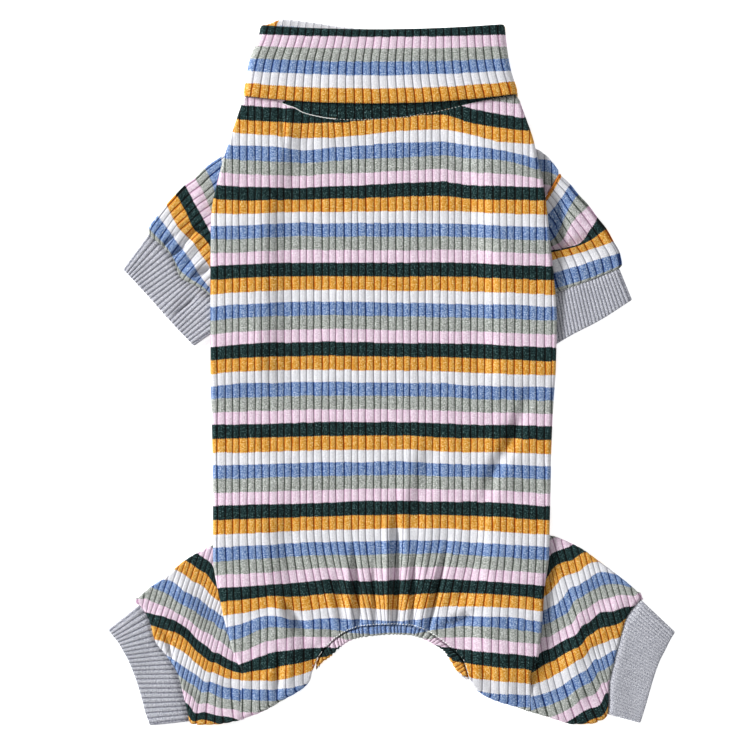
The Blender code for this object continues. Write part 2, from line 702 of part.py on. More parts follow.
def make_collar():
    """One band doubled over its upper fold and swept round the flattened neck."""
    mesh = bmesh.new()
    inner_layer = WALL + COLLAR_GAP
    turn_radius = (inner_layer + WALL) / 2
    fine = collar_loop(*rib_stops(COLLAR_RIBS))
    coarse = collar_loop(np.linspace(0, 1, 17), 0.0)

    outside = [collar_ring(fine, level, 0) for level in (EDGE, HALFWAY, SHOULDER)]
    turned = [turned_ring(coarse, angle, turn_radius) for angle in (45, 90, 135)]
    back_down = [collar_ring(coarse, level, inner_layer + WALL) for level in (SHOULDER, HALFWAY, EDGE)]
    neck = [neck_ring(coarse, WALL), neck_ring(coarse, 0)]
    up_between = [collar_ring(coarse, level, inner_layer) for level in (EDGE, HALFWAY, SHOULDER)]
    down_between = [collar_ring(coarse, level, WALL) for level in (SHOULDER, HALFWAY, EDGE)]

    rings = [add_points(mesh, points) for points in outside]
    for ring_a, ring_b in zip(rings[:-1], rings[1:]):
        join_rings(mesh, ring_a, ring_b)
    plain = turned + back_down + neck + up_between + down_between
    plain = [add_points(mesh, points) for points in plain]
    for ring_a, ring_b in zip(plain[:-1], plain[1:]):
        join_rings(mesh, ring_a, ring_b)
    zip_rings(mesh, rings[-1], fine["progress"], plain[0], coarse["progress"])
    zip_rings(mesh, rings[0], fine["progress"], plain[-1], coarse["progress"])
    return mesh


def collar_loop(across, relief):
    """Stations round the flattened neck: over the top from left to right, back along the floor."""
    ends = np.radians([45, 90, 135])
    under = np.linspace(1, 0, 9)
    x = np.concatenate([across, np.full(3, 1.0), under, np.full(3, 0.0)])
    bulge = np.concatenate([np.zeros(len(across)), np.sin(ends), np.zeros(9), -np.sin(ends)])
    rise = np.concatenate([np.ones(len(across)), np.cos(ends), -np.ones(9), -np.cos(ends)])
    raised = np.concatenate([np.broadcast_to(relief, len(across)), np.zeros(15)])
    progress = np.concatenate([across, 1 + ends / math.pi, 3 - under, 3 + ends / math.pi])
    return {"x": x, "bulge": bulge, "rise": rise, "relief": raised, "progress": progress}


def collar_ring(loop, level, depth, back_off=0.0):
    """The collar's section at one level, depth inside its outer face."""
    row = {name: column[level] for name, column in COLLAR_PLAN.items()}
    half = COLLAR_HEIGHT / 2 - depth
    left, right = row["left"] + depth + half, row["right"] - depth - half
    x = left + loop["x"] * (right - left) + loop["bulge"] * half
    z = COLLAR_HEIGHT / 2 + loop["rise"] * half + loop["relief"]
    along = np.clip((x - row["left"]) / (row["right"] - row["left"]), 0, 1)
    ends_y = row["left_y"] + along * (row["right_y"] - row["left_y"])
    middle = row["middle_y"] - (row["left_y"] + row["right_y"]) / 2
    y = ends_y + middle * 4 * along * (1 - along) - back_off
    if level in (SHOULDER, CROWN):
        peek = np.exp(-(((x - FRONT_PEEK["x"]) / FRONT_PEEK["width"]) ** 2))
        y = y + FRONT_PEEK["height"] * peek * (loop["rise"] < 0)
    return np.column_stack([x, y, z])


def turned_ring(loop, angle, radius):
    """A section of the upper fold, where the band turns from its outer layer to its inner one."""
    turn = math.radians(angle)
    depth = radius * (1 - math.cos(turn))
    return collar_ring(loop, CROWN, depth, radius * (1 - math.sin(turn)))


def neck_ring(loop, inside):
    """The seam at the bottom of the collar's inner layer, sunk to the level of the body."""
    left = NECK["x"][0] + WALL + COLLAR_GAP + inside
    right = NECK["x"][-1] - WALL - COLLAR_GAP - inside
    half = BODY_HEIGHT / 2 - inside
    x = left + half + loop["x"] * (right - left - 2 * half) + loop["bulge"] * half
    return np.column_stack([x, NECK_Y(x) + 2 * SEAM_GAP, BODY_HEIGHT / 2 + loop["rise"] * half])


# ---------------------------------------------------------------- assembly


def main():
    for stale in list(bpy.data.objects):
        bpy.data.objects.remove(stale, do_unlink=True)
    parts = bpy.data.collections.new(OBJECT_NAME)
    cutters = bpy.data.collections.new("cutters")
    for collection in (parts, cutters):
        bpy.context.scene.collection.children.link(collection)

    back_knit = make_material("back_knit", SKY_BLUE, 0.9)
    finish_object(make_back_panel(), "back_panel", back_knit, parts)
    finish_object(make_collar(), "collar", make_material("collar_knit", MUSTARD, 0.9), parts)
    finish_object(make_tail_hem(), "tail_hem", make_material("hem_knit", SAGE, 0.9), parts)

    sleeves = {
        "left_sleeve": Limb(LEFT_SLEEVE, LIMB_HEIGHT, LIMB_FOLD),
        "right_sleeve": Limb(RIGHT_SLEEVE, LIMB_HEIGHT, LIMB_FOLD),
    }
    legs = {
        "left_leg": Limb(LEFT_LEG, LIMB_HEIGHT, LIMB_FOLD, "ab first", LEFT_LEG_SEAM),
        "right_leg": Limb(RIGHT_LEG, LIMB_HEIGHT, LIMB_FOLD, "ab first", RIGHT_LEG_SEAM),
    }
    cuffs = {
        "left_sleeve_cuff": Limb(LEFT_SLEEVE_CUFF, CUFF_HEIGHT, CUFF_FOLD, "first last"),
        "right_sleeve_cuff": Limb(RIGHT_SLEEVE_CUFF, CUFF_HEIGHT, CUFF_FOLD, "first last"),
        "left_leg_cuff": Limb(LEFT_LEG_CUFF, CUFF_HEIGHT, CUFF_FOLD, "first last"),
        "right_leg_cuff": Limb(RIGHT_LEG_CUFF, CUFF_HEIGHT, CUFF_FOLD, "first last"),
    }
    limb_rows = np.linspace(0, 1, 7)
    for name, limb in sleeves.items():
        knit = make_material(name + "_knit", PALE_PINK, 0.9)
        across, relief = rib_stops(SLEEVE_RIBS)
        make_tube(name, limb, limb_rows, across, relief[:, None], knit, parts, cutters)
    for name, limb in legs.items():
        knit = make_material(name + "_knit", OFF_WHITE, 0.9)
        across, relief = rib_stops(LEG_RIBS)
        make_tube(name, limb, across, limb_rows, relief, knit, parts, cutters)
    for name, limb in cuffs.items():
        knit = make_material(name + "_knit", MELANGE_GREY, 0.95)
        across, relief = rib_stops(CUFF_RIBS)
        make_tube(name, limb, across, np.array([0.0, 0.5, 1.0]), relief, knit, parts, cutters)

    belly_knit = make_material("belly_knit", INK_GREEN, 0.9)
    belly = finish_object(make_prism(belly_outline(), 0, BELLY_HEIGHT), "belly_panel", belly_knit, parts)
    chest = Limb(CHEST_FLAP, CHEST_HEIGHT + CHEST_SINK, CHEST_FOLD, folds="a last")
    across, relief = rib_stops(CHEST_RIBS)
    flap = make_pillow(chest, across, np.linspace(0, 1, 4), relief)
    bmesh.ops.translate(flap, vec=(0, 0, -CHEST_SINK * MM), verts=flap.verts)
    bmesh.ops.triangulate(flap, faces=flap.faces[:])
    cut(belly, make_cutter(flap, "chest_flap", belly_knit, cutters), "UNION")
    surface = make_prism(SURFACE, CUT_DEPTH[0], 0)
    cut(belly, make_cutter(surface, "surface", belly_knit, cutters))
    for name, limb in {**sleeves, **legs, **cuffs}.items():
        room = make_prism(footprint(limb, CUT_GAP), *CUT_DEPTH)
        cut(belly, make_cutter(room, name + "_room", belly_knit, cutters))


main()
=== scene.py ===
import functools
import math

import bmesh
import bpy
import numpy as np
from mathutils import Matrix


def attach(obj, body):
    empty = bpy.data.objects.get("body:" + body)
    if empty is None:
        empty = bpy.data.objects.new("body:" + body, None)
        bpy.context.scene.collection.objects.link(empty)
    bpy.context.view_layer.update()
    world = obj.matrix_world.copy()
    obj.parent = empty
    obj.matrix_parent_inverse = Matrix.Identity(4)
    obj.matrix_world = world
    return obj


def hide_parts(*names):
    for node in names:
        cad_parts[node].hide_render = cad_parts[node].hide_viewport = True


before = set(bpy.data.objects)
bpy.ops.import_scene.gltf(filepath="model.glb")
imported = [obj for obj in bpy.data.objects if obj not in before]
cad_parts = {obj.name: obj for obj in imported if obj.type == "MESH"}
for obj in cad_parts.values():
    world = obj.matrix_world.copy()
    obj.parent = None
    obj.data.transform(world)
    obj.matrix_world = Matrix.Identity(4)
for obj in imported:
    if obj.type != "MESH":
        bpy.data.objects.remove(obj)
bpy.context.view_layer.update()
mm = 0.001  # every length below is in millimetres until it becomes a vertex

# One cloth makes the whole suit. Its pattern has two coordinates: u counts ribs across the piece,
# v counts stripes down the body, six to a repeat, from the upper edge of a dark green one.
cloth = {"wall": 1.1, "ribHeight": 0.34, "ribPitch": 4.22, "stripe": 7.55, "ribSteps": 7}


def table(columns, *rows):
    return dict(zip(columns.split(), np.array(rows, float).T))


def smooth(knots, values):
    # a curve through the values, one for each knot, that never swings past them
    knots, values = np.asarray(knots, float), np.asarray(values, float)
    order = np.argsort(knots)
    knots, values = knots[order], values[order]
    extra = (1,) * (values.ndim - 1)
    slope = np.diff(values, axis=0) / np.diff(knots).reshape((-1,) + extra)
    before, after = slope[:-1], slope[1:]
    bend = np.where(before * after > 0, before + after, 1)
    middle = np.where(before * after > 0, 2 * before * after / bend, 0)
    tangent = np.concatenate([slope[:1], middle, slope[-1:]])

    def curve(x):
        x = np.clip(np.asarray(x, float), knots[0], knots[-1])
        i = np.clip(np.searchsorted(knots, x, side="right") - 1, 0, len(knots) - 2)
        gap = (knots[i + 1] - knots[i]).reshape(x.shape + extra)
        t = (x - knots[i]).reshape(x.shape + extra) / gap
        start = (1 + 2 * t) * (1 - t) ** 2 * values[i] + t * (1 - t) ** 2 * gap * tangent[i]
        return start + t * t * (3 - 2 * t) * values[i + 1] + t * t * (t - 1) * gap * tangent[i + 1]

    return curve


def ease(low, high, value):
    t = np.clip((value - low) / (high - low), 0, 1)
    return t * t * (3 - 2 * t)


def unit(vectors):
    return vectors / np.maximum(np.linalg.norm(vectors, axis=-1, keepdims=True), 1e-9)


def distanceAlong(points):
    # how far along a path each of its points lies
    return np.concatenate([[0], np.cumsum(np.linalg.norm(np.diff(points, axis=0), axis=1))])


def linesAcross(lines):
    # the ends a and b of each line across a piece, and how far along the piece the line lies
    ends = np.stack([np.column_stack([lines[end + "x"], lines[end + "y"]]) for end in "ab"], axis=1)
    return ends, distanceAlong(ends.mean(axis=1))


def planBetween(ends, w):
    # the points at shares w of the way from a to b, for each line
    return ends[:, :1] + w[None, :, None] * (ends[:, 1:] - ends[:, :1])


def ribCrest(u, groove=0.13, dome=0.32):
    # 0 in the groove at each whole u, rounding up to 1 on the crest between two grooves
    away = np.abs(u % 1 - 0.5) * 2
    return (1 - dome * away**2) * (1 - np.exp(-(((1 - away) / 2 / groove) ** 2)))


def wander(u, v):
    # ribs aren't quite even: each groove strays a little to either side of its line
    return u + 0.07 * np.sin(1.9 * u + 0.5) + 0.05 * np.sin(0.7 * v + 2.3 * u)


# Soft ridges (rise up) and troughs (rise down) that the cloth has fallen into, from one end of
# the crease to the other.
creases = table(
    "fromX fromY toX toY width rise",
    (2.5, -70, 2, -96, 2.6, -0.6), (3.6, -90, 2.6, -146, 2.1, -2.2), (-2.6, -84, -2.6, -144, 2.3, 1.1),
    (8.6, -84, 8, -132, 3, 0.5), (78, -12, 67.8, -41, 3.4, -1.1), (71.5, -32, 56.5, -60, 3.4, -1.3),
    (60, -53, 48, -86, 4, -1), (67, -22, 48, -61, 5, 0.6), (24, -40, 11, -92, 5, -0.9),
    (14, -38, 3, -84, 5, 0.5), (73, -42, 51, -82, 7, 0.6), (33, -88, 20, -112, 4.5, -0.5),
    (-76, 2, -77, 26, 4, 0.5), (-72, 96, -75, 66, 6, 0.4), (-88, -30, -60, -62, 9, 0.5),
    (40, 52, 62, 20, 8, 0.4), (-24, 60, -34, 10, 9, 0.35), (-21, -104, -18.5, -147, 1.8, -1.8),
    (-24.5, -108, -23, -138, 2, 0.8), (-10, -110, -9, -146, 1.6, -1.3),
    (-26.5, -112, -23.5, -140, 2.2, 0.6), (-31.5, -118, -27.5, -141, 1.8, -0.8),
    (-38, -120, -32, -144, 2.4, 0.5), (13, -106, 11.8, -146, 1.7, -1.5), (19.6, -104, 16.4, -138, 2.4, 0.8),
    (31, -102, 20.5, -148, 1.9, -1.8), (25.5, -108, 18.5, -138, 2.2, 0.7),
    (47, -137, 25.5, -145.5, 2, -1.8), (50, -133, 28, -141.5, 2.6, 1.2), (44, -122, 31, -135, 2.4, -0.6),
    (62, -141, 44, -147, 4, 0.6), (-67, -134, -57, -144, 4, 1.4), (-60, -132, -49, -146.5, 2, -1.1),
    (-52, -140, -40, -149, 3.6, 0.8), (-62.5, -158, -65.5, -184, 1.8, -0.8),
    (-57.5, -162, -60, -180, 2.4, 0.6), (-46, -162, -40, -154, 2, -0.8), (-84, -166, -72, -171, 5, -0.5),
    (-76, -190, -68, -164, 4, 0.5), (68, -186, 61, -160, 4, 0.6), (56, -178, 50, -160, 2.4, -0.6),
    (-62.2, 152, -61.6, 134, 1.2, -0.9), (-58.6, 150, -58, 132, 2.6, 0.5), (-50, 141, -34, 129, 5, 0.5),
    (30, 147, 42, 131, 4, 0.8), (42, 145, 58, 134, 2.6, -0.6), (-95, 118, -86, 84, 5, 0.3),
    (84, 108, 80, 76, 6, 0.3), (-112, 104, -108.5, 92, 4, 0.5), (-122.8, 68.8, -112, 81.4, 1.4, -1.6),
    (-112, 81.4, -103.5, 83.1, 1.4, -1.4), (-120, 65, -109.5, 77.5, 2.2, 1), (-128, 82, -117, 88, 3, 0.6),
    (-126, 67, -117.5, 72.6, 1, -1.4), (-130.6, 73, -124, 79, 1, -1.4),
    (-111.8, 54.6, -103.5, 58.8, 1.7, -1.9), (-111.4, 41.3, -123.2, 33, 0.9, -0.9),
    (-116, 47, -127, 38.5, 3.2, 0.5), (-108, -112, -98, -150, 8, -0.7), (97, -105, 92, -180, 9, -0.7),
    (108, -118, 104, -182, 6, 0.6), (-116, 57, -106, 64.5, 2.6, 0.9), (124, 66, 104, 58, 4, 0.6),
    (104, 97, 109, 86, 4.5, 0.5), (-133, -138, -120, -148, 3.6, 1), (-131.5, -146, -122, -153.5, 1.3, -0.9),
    (-127.5, -152, -125, -162, 1.2, -1.3), (-121, -120, -110, -138, 6, 0.7),
    (-108, -150, -90, -163, 4, 0.5), (-112, -168, -96, -180, 4.5, 0.7), (-118, -174, -104, -190, 2.5, -0.5),
    (131, -130, 117, -140, 4, 0.9), (124, -136, 108, -150, 3.5, -0.6), (116, -150, 98, -168, 4.5, 0.6),
    (113, -172, 104, -190, 4.5, 0.5), (98, -112, 94, -140, 5, 0.4),
)


def creaseHeight(x, y):
    height = np.zeros(np.shape(x))
    for fromX, fromY, toX, toY, width, rise in zip(*creases.values()):
        runX, runY = toX - fromX, toY - fromY
        along = ((x - fromX) * runX + (y - fromY) * runY) / (runX**2 + runY**2)
        across = ((x - fromX) * runY - (y - fromY) * runX) / math.hypot(runX, runY)
        away = np.hypot(across, width * np.maximum(np.abs(along - 0.5) - 0.25, 0) / 0.3)
        height = height + 1.4 * rise * np.exp(-((away / width) ** 2))
    return np.maximum(height, -2.5)


# Where each stripe's upper edge lies on the body, at eleven places from left to right. Inside a
# repeat the six colours are knitted a little wider or narrower than one another.
colourEnds = (0, 0.1745, 0.349, 0.5, 0.669, 0.842, 1)
stripeAcross = (-101, -86, -69, -52, -35, -18, 5, 28, 45, 62, 87)
stripeEdges = {
    -1: (160, 160, 158.5, 157, 157, 158.5, 160, 161, 157.5, 154, 151),
    0: (154, 152, 151.3, 150, 150, 151, 152.5, 154.5, 150.5, 147, 143),
    1: (144.5, 143.7, 142.9, 142, 142, 143.4, 145.1, 146.8, 142.1, 139.3, 136),
    2: (137, 136, 134.8, 133.6, 133.5, 134.9, 137.4, 138.3, 135.5, 130.8, 130),
    3: (130, 129, 129, 126.6, 128, 129.4, 130.8, 131.4, 129.2, 126.6, 120.5),
    4: (122.5, 121, 119.9, 119.5, 120.5, 121.5, 122.1, 123.5, 121.9, 121, 113.8),
    6: (107, 105.6, 105.5, 105.2, 106.2, 106.6, 108, 108.8, 106.7, 106, 105.8),
    9: (83.5, 83.5, 84.5, 85.5, 84.9, 85.3, 85, 85, 84.6, 83.5, 82.8),
    12: (60.8, 61.6, 62.3, 62.6, 62.7, 62.7, 62.6, 63, 62.7, 61.7, 60.5),
    15: (37.6, 38.9, 39.7, 40.5, 40.5, 40.3, 39.8, 39.4, 38.9, 38.8, 37.5),
    18: (14.6, 16.2, 17.1, 17.3, 17.7, 17.4, 17, 16.7, 16.6, 15.7, 14.5),
    21: (-7.6, -6, -5.7, -5.2, -5.2, -5.4, -5.7, -5.8, -7.3, -7.7, -8.2),
    24: (-29.4, -29.3, -28.9, -28.3, -27.9, -27.9, -28, -28.7, -29.5, -29.6, -30.3),
    27: (-52.5, -52.3, -51.8, -51.3, -50.9, -50.8, -50.3, -51.6, -52.1, -51.9, -53),
    30: (-75.6, -75.1, -74.6, -74.3, -73.7, -73, -72.8, -73.3, -73.2, -73.9, -75.8),
    33: (-99.6, -98.3, -97.7, -96.6, -96.2, -95.9, -95.3, -95.3, -96.4, -97.4, -99),
    36: (-122.6, -121.5, -120.4, -119, -117.6, -118.4, -117.8, -117.3, -117.9, -118.9, -121),
    38: (-138.5, -137, -133.7, -135.6, -133.8, -133.9, -135, -133.4, -133, -133.3, -136),
    39: (-146, -142.6, -137.6, -140.9, -139.5, -140.4, -141.1, -138.7, -138.5, -138.4, -142),
    40: (-154, -150.7, -144.6, -145.4, -146.2, -148.3, -149, -145.8, -143.8, -144.9, -148),
    41: (-160, -158.5, -152.1, -149.9, -150.1, -153.5, -155, -150.5, -150.4, -151.9, -154.4),
    42: (-168.5, -165.5, -159.3, -157, -156.3, -159, -161, -156, -157.8, -159.2, -161.5),
    43: (-172.5, -170.9, -168.1, -165, -161.5, -165, -166.5, -163.5, -165.6, -167.5, -169),
    44: (-176.5, -174.8, -175.2, -171.8, -166.5, -170.5, -172.5, -170.5, -173.2, -175.6, -177.1),
    45: (-182, -179.3, -180.2, -178, -172.5, -176, -178, -177.5, -180.3, -182.6, -183.7),
    46: (-188, -185.7, -186.5, -184, -178, -181, -183.5, -183.5, -187.5, -190, -190.5),
    47: (-195.5, -193.3, -193, -191, -184, -187, -189.5, -189.5, -194, -196.5, -197),
    49: (-210, -205.5, -203.5, -201, -197, -199, -202, -202, -206.5, -209.5, -209.5),
}
stripeCurves = smooth(stripeAcross, np.array(list(stripeEdges.values())).T)


def evenRun(v):
    # from colours counted down the body to even lengths of cloth
    repeat = np.floor(v / 6)
    return 6 * (repeat + np.interp(v / 6 - repeat, np.arange(7) / 6, colourEnds))


def stripeCount(run):
    repeat = np.floor(run / 6)
    return 6 * (repeat + np.interp(run / 6 - repeat, colourEnds, np.arange(7) / 6))


stripeRuns = evenRun(np.array(list(stripeEdges), float))


def bodyStripe(x, y):
    # the stripe coordinate v at a point of the body
    edges = stripeCurves(x)
    row = np.clip(np.sum(edges > np.asarray(y)[..., None], axis=-1) - 1, 0, len(stripeRuns) - 2)
    upper = np.take_along_axis(edges, row[..., None], -1)[..., 0]
    lower = np.take_along_axis(edges, row[..., None] + 1, -1)[..., 0]
    share = (upper - y) / (upper - lower)
    return stripeCount(stripeRuns[row] + share * (stripeRuns[row + 1] - stripeRuns[row]))


# knitted pieces: a grid whose points are laid on the piece's form, with u and v as its UV map


def knitPiece(name, points, knit, material, nodes, wall=None, holes=None, up=1):
    rows, columns = points.shape[:2]
    mesh = bmesh.new()
    bmesh.ops.create_grid(mesh, x_segments=columns - 1, y_segments=rows - 1, size=1)
    start = np.array([vert.co[:2] for vert in mesh.verts])
    i, j = np.rint((start + 1) / 2 * (columns - 1, rows - 1)).astype(int).T
    mesh.verts.index_update()
    pattern = knit[j, i].tolist()
    uvMap = mesh.loops.layers.uv.new("knit")
    for face in mesh.faces:
        for loop in face.loops:
            loop[uvMap].uv = pattern[loop.vert.index]
    places = (points[j, i] * mm).tolist()
    for vert in mesh.verts:
        vert.co = places[vert.index]
    if holes is not None:
        lowest = [min((j[v.index], i[v.index]) for v in face.verts) for face in mesh.faces]
        gone = [face for face, spot in zip(mesh.faces, lowest) if holes[spot]]
        bmesh.ops.delete(mesh, geom=gone, context="FACES")
    bmesh.ops.remove_doubles(mesh, verts=mesh.verts[:], dist=2e-6)
    mesh.normal_update()
    highest = sorted(mesh.faces, key=lambda face: -up * face.calc_center_median().z)[:400]
    if sum(face.normal.z * up for face in highest) < 0:
        bmesh.ops.reverse_faces(mesh, faces=mesh.faces[:])
    return finishPiece(mesh, name, material, nodes, wall)


def finishPiece(mesh, name, material, nodes, wall=None):
    data = bpy.data.meshes.new(name)
    mesh.to_mesh(data)
    mesh.free()
    data.materials.append(material)
    data.shade_smooth()
    piece = bpy.data.objects.new(name, data)
    bpy.context.scene.collection.objects.link(piece)
    if wall:
        shell = piece.modifiers.new("wall", "SOLIDIFY")
        shell.thickness = wall * mm
        shell.offset = -1
        shell.use_rim = True
    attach(piece, "root")
    if nodes:
        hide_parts(*nodes)
    return piece


def pressedTube(flat, height, fold, turnSteps=6, openB=None):
    # A tube pressed flat: flat holds its plan, one row of points for each section, from side a to
    # side b. Each section runs over the top, round b, back along the surface and round a.
    count = flat.shape[1]
    w = np.linspace(0, 1, count)[None, :, None]
    length = np.linalg.norm(flat[:, -1] - flat[:, 0], axis=1)
    foldA = np.minimum(fold, 0.42 * length)[:, None]
    foldB = foldA * (1 if openB is None else (1 - openB)[:, None])
    outA, outB = -unit(flat[:, 1] - flat[:, 0]), unit(flat[:, -1] - flat[:, -2])
    top = flat - (outA * foldA)[:, None] * (1 - w) - (outB * foldB)[:, None] * w
    turn = np.linspace(0, math.pi, turnSteps + 2)[1:-1]
    bendB = top[:, -1:] + (outB * foldB)[:, None] * np.sin(turn)[None, :, None]
    bendA = top[:, :1] + (outA * foldA)[:, None] * np.sin(turn)[None, ::-1, None]
    plan = np.concatenate([top, bendB, top[:, ::-1], bendA, top[:, :1]], axis=1)
    level = np.broadcast_to(height, (len(flat), count))
    sideA = np.repeat(level[:, :1], turnSteps, axis=1)
    sideB = np.repeat(level[:, -1:], turnSteps, axis=1)
    tall = np.concatenate([level, sideB, level[:, ::-1], sideA, level[:, :1]], axis=1)
    angle = np.concatenate([np.zeros(count), turn, np.full(count, math.pi), math.pi + turn, [2 * math.pi]])
    outward = np.zeros(plan.shape[:2] + (3,))
    outward[..., 2] = np.cos(angle)
    bSide, aSide = slice(count, count + turnSteps), slice(2 * count + turnSteps, -1)
    outward[:, bSide, :2] = outB[:, None] * np.sin(turn)[None, :, None]
    outward[:, aSide, :2] = outA[:, None] * np.sin(turn)[None, ::-1, None]
    if openB is not None:
        outward[:, bSide, :2] *= (1 - openB)[:, None, None]
    points = np.dstack([plan, tall * (1 + np.cos(angle)) / 2])
    across = np.concatenate([w[0, :, 0], 1 + turn / math.pi, 3 - w[0, :, 0], 3 + turn / math.pi, [4]])
    return points, outward, across


def sinkGrooves(points, outward, crest):
    return points - outward * (cloth["ribHeight"] * (1 - crest))[..., None]


def ribCount(across, top, turn):
    # how many ribs lie between side a and each place round a pressed tube
    return np.interp(across, [0, 1, 2, 3, 4], [0, top, top + turn, 2 * top + turn, 2 * top + 2 * turn])


# materials


def addNode(tree, kind, settings=None, **inputs):
    # an input is given by its name, or as i and its number where names repeat
    made = tree.nodes.new("ShaderNode" + kind)
    for key, value in (settings or {}).items():
        setattr(made, key, value)
    for key, value in inputs.items():
        socket = made.inputs[int(key[1:]) if key[1:].isdigit() else key.replace("_", " ")]
        if isinstance(value, bpy.types.NodeSocket):
            tree.links.new(value, socket)
        else:
            socket.default_value = value
    return made


def mathNode(tree, operation, *values):
    inputs = {f"i{index}": value for index, value in enumerate(values)}
    return addNode(tree, "Math", {"operation": operation}, **inputs).outputs[0]


def newGroup(name, inputs, outputs):
    # a shared effect; its inputs and outputs are plain values, apart from one named Color
    group = bpy.data.node_groups.new(name, "ShaderNodeTree")
    for direction, names in (("INPUT", inputs), ("OUTPUT", outputs)):
        for socketName in names.split():
            kind = "NodeSocketColor" if socketName == "Color" else "NodeSocketFloat"
            group.interface.new_socket(name=socketName, in_out=direction, socket_type=kind)
    given = group.nodes.new("NodeGroupInput").outputs
    result = group.nodes.new("NodeGroupOutput").inputs
    return group, given, result, functools.partial(mathNode, group)


def mixColour(tree, blend, amount, first, second):
    settings = {"data_type": "RGBA", "blend_type": blend}
    return addNode(tree, "Mix", settings, i0=amount, i6=first, i7=second).outputs[2]


def greyColour(tree, tone):
    return addNode(tree, "CombineColor", Red=tone, Green=tone, Blue=tone).outputs[0]


stripeColours = [
    (0.0047, 0.0182, 0.0185, 1),  # dark green
    (0.595, 0.278, 0.035, 1),  # mustard
    (0.665, 0.665, 0.70, 1),  # white
    (0.142, 0.225, 0.42, 1),  # blue
    (0.315, 0.333, 0.31, 1),  # sage
    (0.675, 0.53, 0.63, 1),  # pale pink
]
stripeEdge = {"columns": 4, "jog": 2.4, "ragged": 3, "raggedScale": 4.1, "tooth": 0.028}


def makeStripeGroup():
    # v to colour, with the small steps that each column of stitches makes in a stripe's edge
    group, given, result, calc = newGroup("stripeColour", "Rib Stripe Tooth", "Color")
    rib, stripe = given["Rib"], given["Stripe"]
    wave = calc("SINE", calc("MULTIPLY", rib, 2 * math.pi * stripeEdge["columns"]))
    edge = addNode(group, "CombineXYZ", X=calc("FLOOR", rib), Y=calc("FLOOR", calc("ADD", stripe, 0.5)))
    jog = addNode(group, "TexWhiteNoise", {"noise_dimensions": "2D"}, Vector=edge.outputs[0])
    jogged = calc("MULTIPLY_ADD", jog.outputs["Value"], stripeEdge["jog"], -stripeEdge["jog"] / 2)
    spot = addNode(group, "CombineXYZ", X=rib, Y=stripe).outputs[0]
    noise = addNode(group, "TexNoise", Vector=spot, Scale=stripeEdge["raggedScale"], Detail=2)
    ragged = calc("MULTIPLY_ADD", noise.outputs["Fac"], stripeEdge["ragged"], -stripeEdge["ragged"] / 2)
    step = calc("MULTIPLY", calc("ADD", calc("ADD", wave, ragged), jogged), given["Tooth"])
    repeats = calc("DIVIDE", calc("ADD", stripe, step), 6)
    ramp = addNode(group, "ValToRGB", Fac=calc("FRACT", calc("ADD", repeats, 10)))
    ramp.color_ramp.interpolation = "CONSTANT"
    stops = ramp.color_ramp.elements
    for index, colour in enumerate(stripeColours):
        stop = stops[0] if index == 0 else stops.new(index / 6)
        stop.position, stop.color = index / 6, colour
    stops.remove(stops[-1])
    group.links.new(ramp.outputs["Color"], result["Color"])
    return group


def makeGrooveGroup():
    # 1 in the groove between two ribs, 0 on the ribs; it darkens the colour in the grooves as painted
    # shade, and sinks the bump there
    group, given, result, calc = newGroup("ribGroove", "Rib Width", "Groove")
    fromCrest = calc("ABSOLUTE", calc("SUBTRACT", calc("FRACT", given["Rib"]), 0.5))
    away = calc("DIVIDE", calc("SUBTRACT", 0.5, fromCrest), given["Width"])
    falloff = calc("EXPONENT", calc("MULTIPLY", calc("MULTIPLY", away, away), -1))
    group.links.new(falloff, result["Groove"])
    return group


def makeStitchGroup():
    # rows of knitted v stitches: their height, and a random value for each half of one; the height also
    # darkens the colour where a stitch lies low, as painted shade
    slant = 1.3
    group, given, result, calc = newGroup("knitStitch", "Rib Stripe Columns Rows", "Height Speck")
    wale = calc("MULTIPLY", given["Rib"], given["Columns"])
    side = calc("ABSOLUTE", calc("SUBTRACT", calc("FRACT", wale), 0.5))
    course = calc("MULTIPLY_ADD", side, slant, calc("MULTIPLY", given["Stripe"], given["Rows"]))
    yarn = calc("SINE", calc("MULTIPLY", calc("FRACT", course), math.pi))
    edge = calc("SUBTRACT", 1, calc("POWER", calc("MULTIPLY", side, 2), 3))
    cell = addNode(group, "CombineXYZ", X=calc("FLOOR", wale), Y=calc("FLOOR", course)).outputs[0]
    speck = addNode(group, "TexWhiteNoise", {"noise_dimensions": "2D"}, Vector=cell)
    group.links.new(calc("MULTIPLY", yarn, edge), result["Height"])
    group.links.new(speck.outputs["Value"], result["Speck"])
    return group


yarnNoise = {  # scale, detail and roughness
    "Mottle": (0.09, 4, 0.6), "Fleck": (1.5, 2, 0.75), "Fibre": (3.2, 3, 0.7)}


def makeFuzzGroup():
    # what makes the yarn look soft and a little worn: broad mottling, heathered flecks and loose
    # fibre, all measured in millimetres of cloth
    group, given, result, calc = newGroup("yarnFuzz", "Rib Stripe", "Mottle Fleck Fibre")
    ribs = calc("MULTIPLY", given["Rib"], cloth["ribPitch"])
    stripes = calc("MULTIPLY", given["Stripe"], cloth["stripe"])
    spot = addNode(group, "CombineXYZ", X=ribs, Y=stripes).outputs[0]
    for name, (scale, detail, roughness) in yarnNoise.items():
        noise = addNode(group, "TexNoise", Vector=spot, Scale=scale, Detail=detail, Roughness=roughness)
        value = noise.outputs["Fac"]
        if name == "Fleck":
            spread = addNode(group, "MapRange", Value=value, From_Min=0.3, From_Max=0.7, To_Min=-1)
            value = spread.outputs[0]
        group.links.new(value, result[name])
    return group


stripeGroup, grooveGroup = makeStripeGroup(), makeGrooveGroup()
stitchGroup, fuzzGroup = makeStitchGroup(), makeFuzzGroup()


def useGroup(tree, group, **inputs):
    return addNode(tree, "Group", {"node_tree": group}, **inputs).outputs


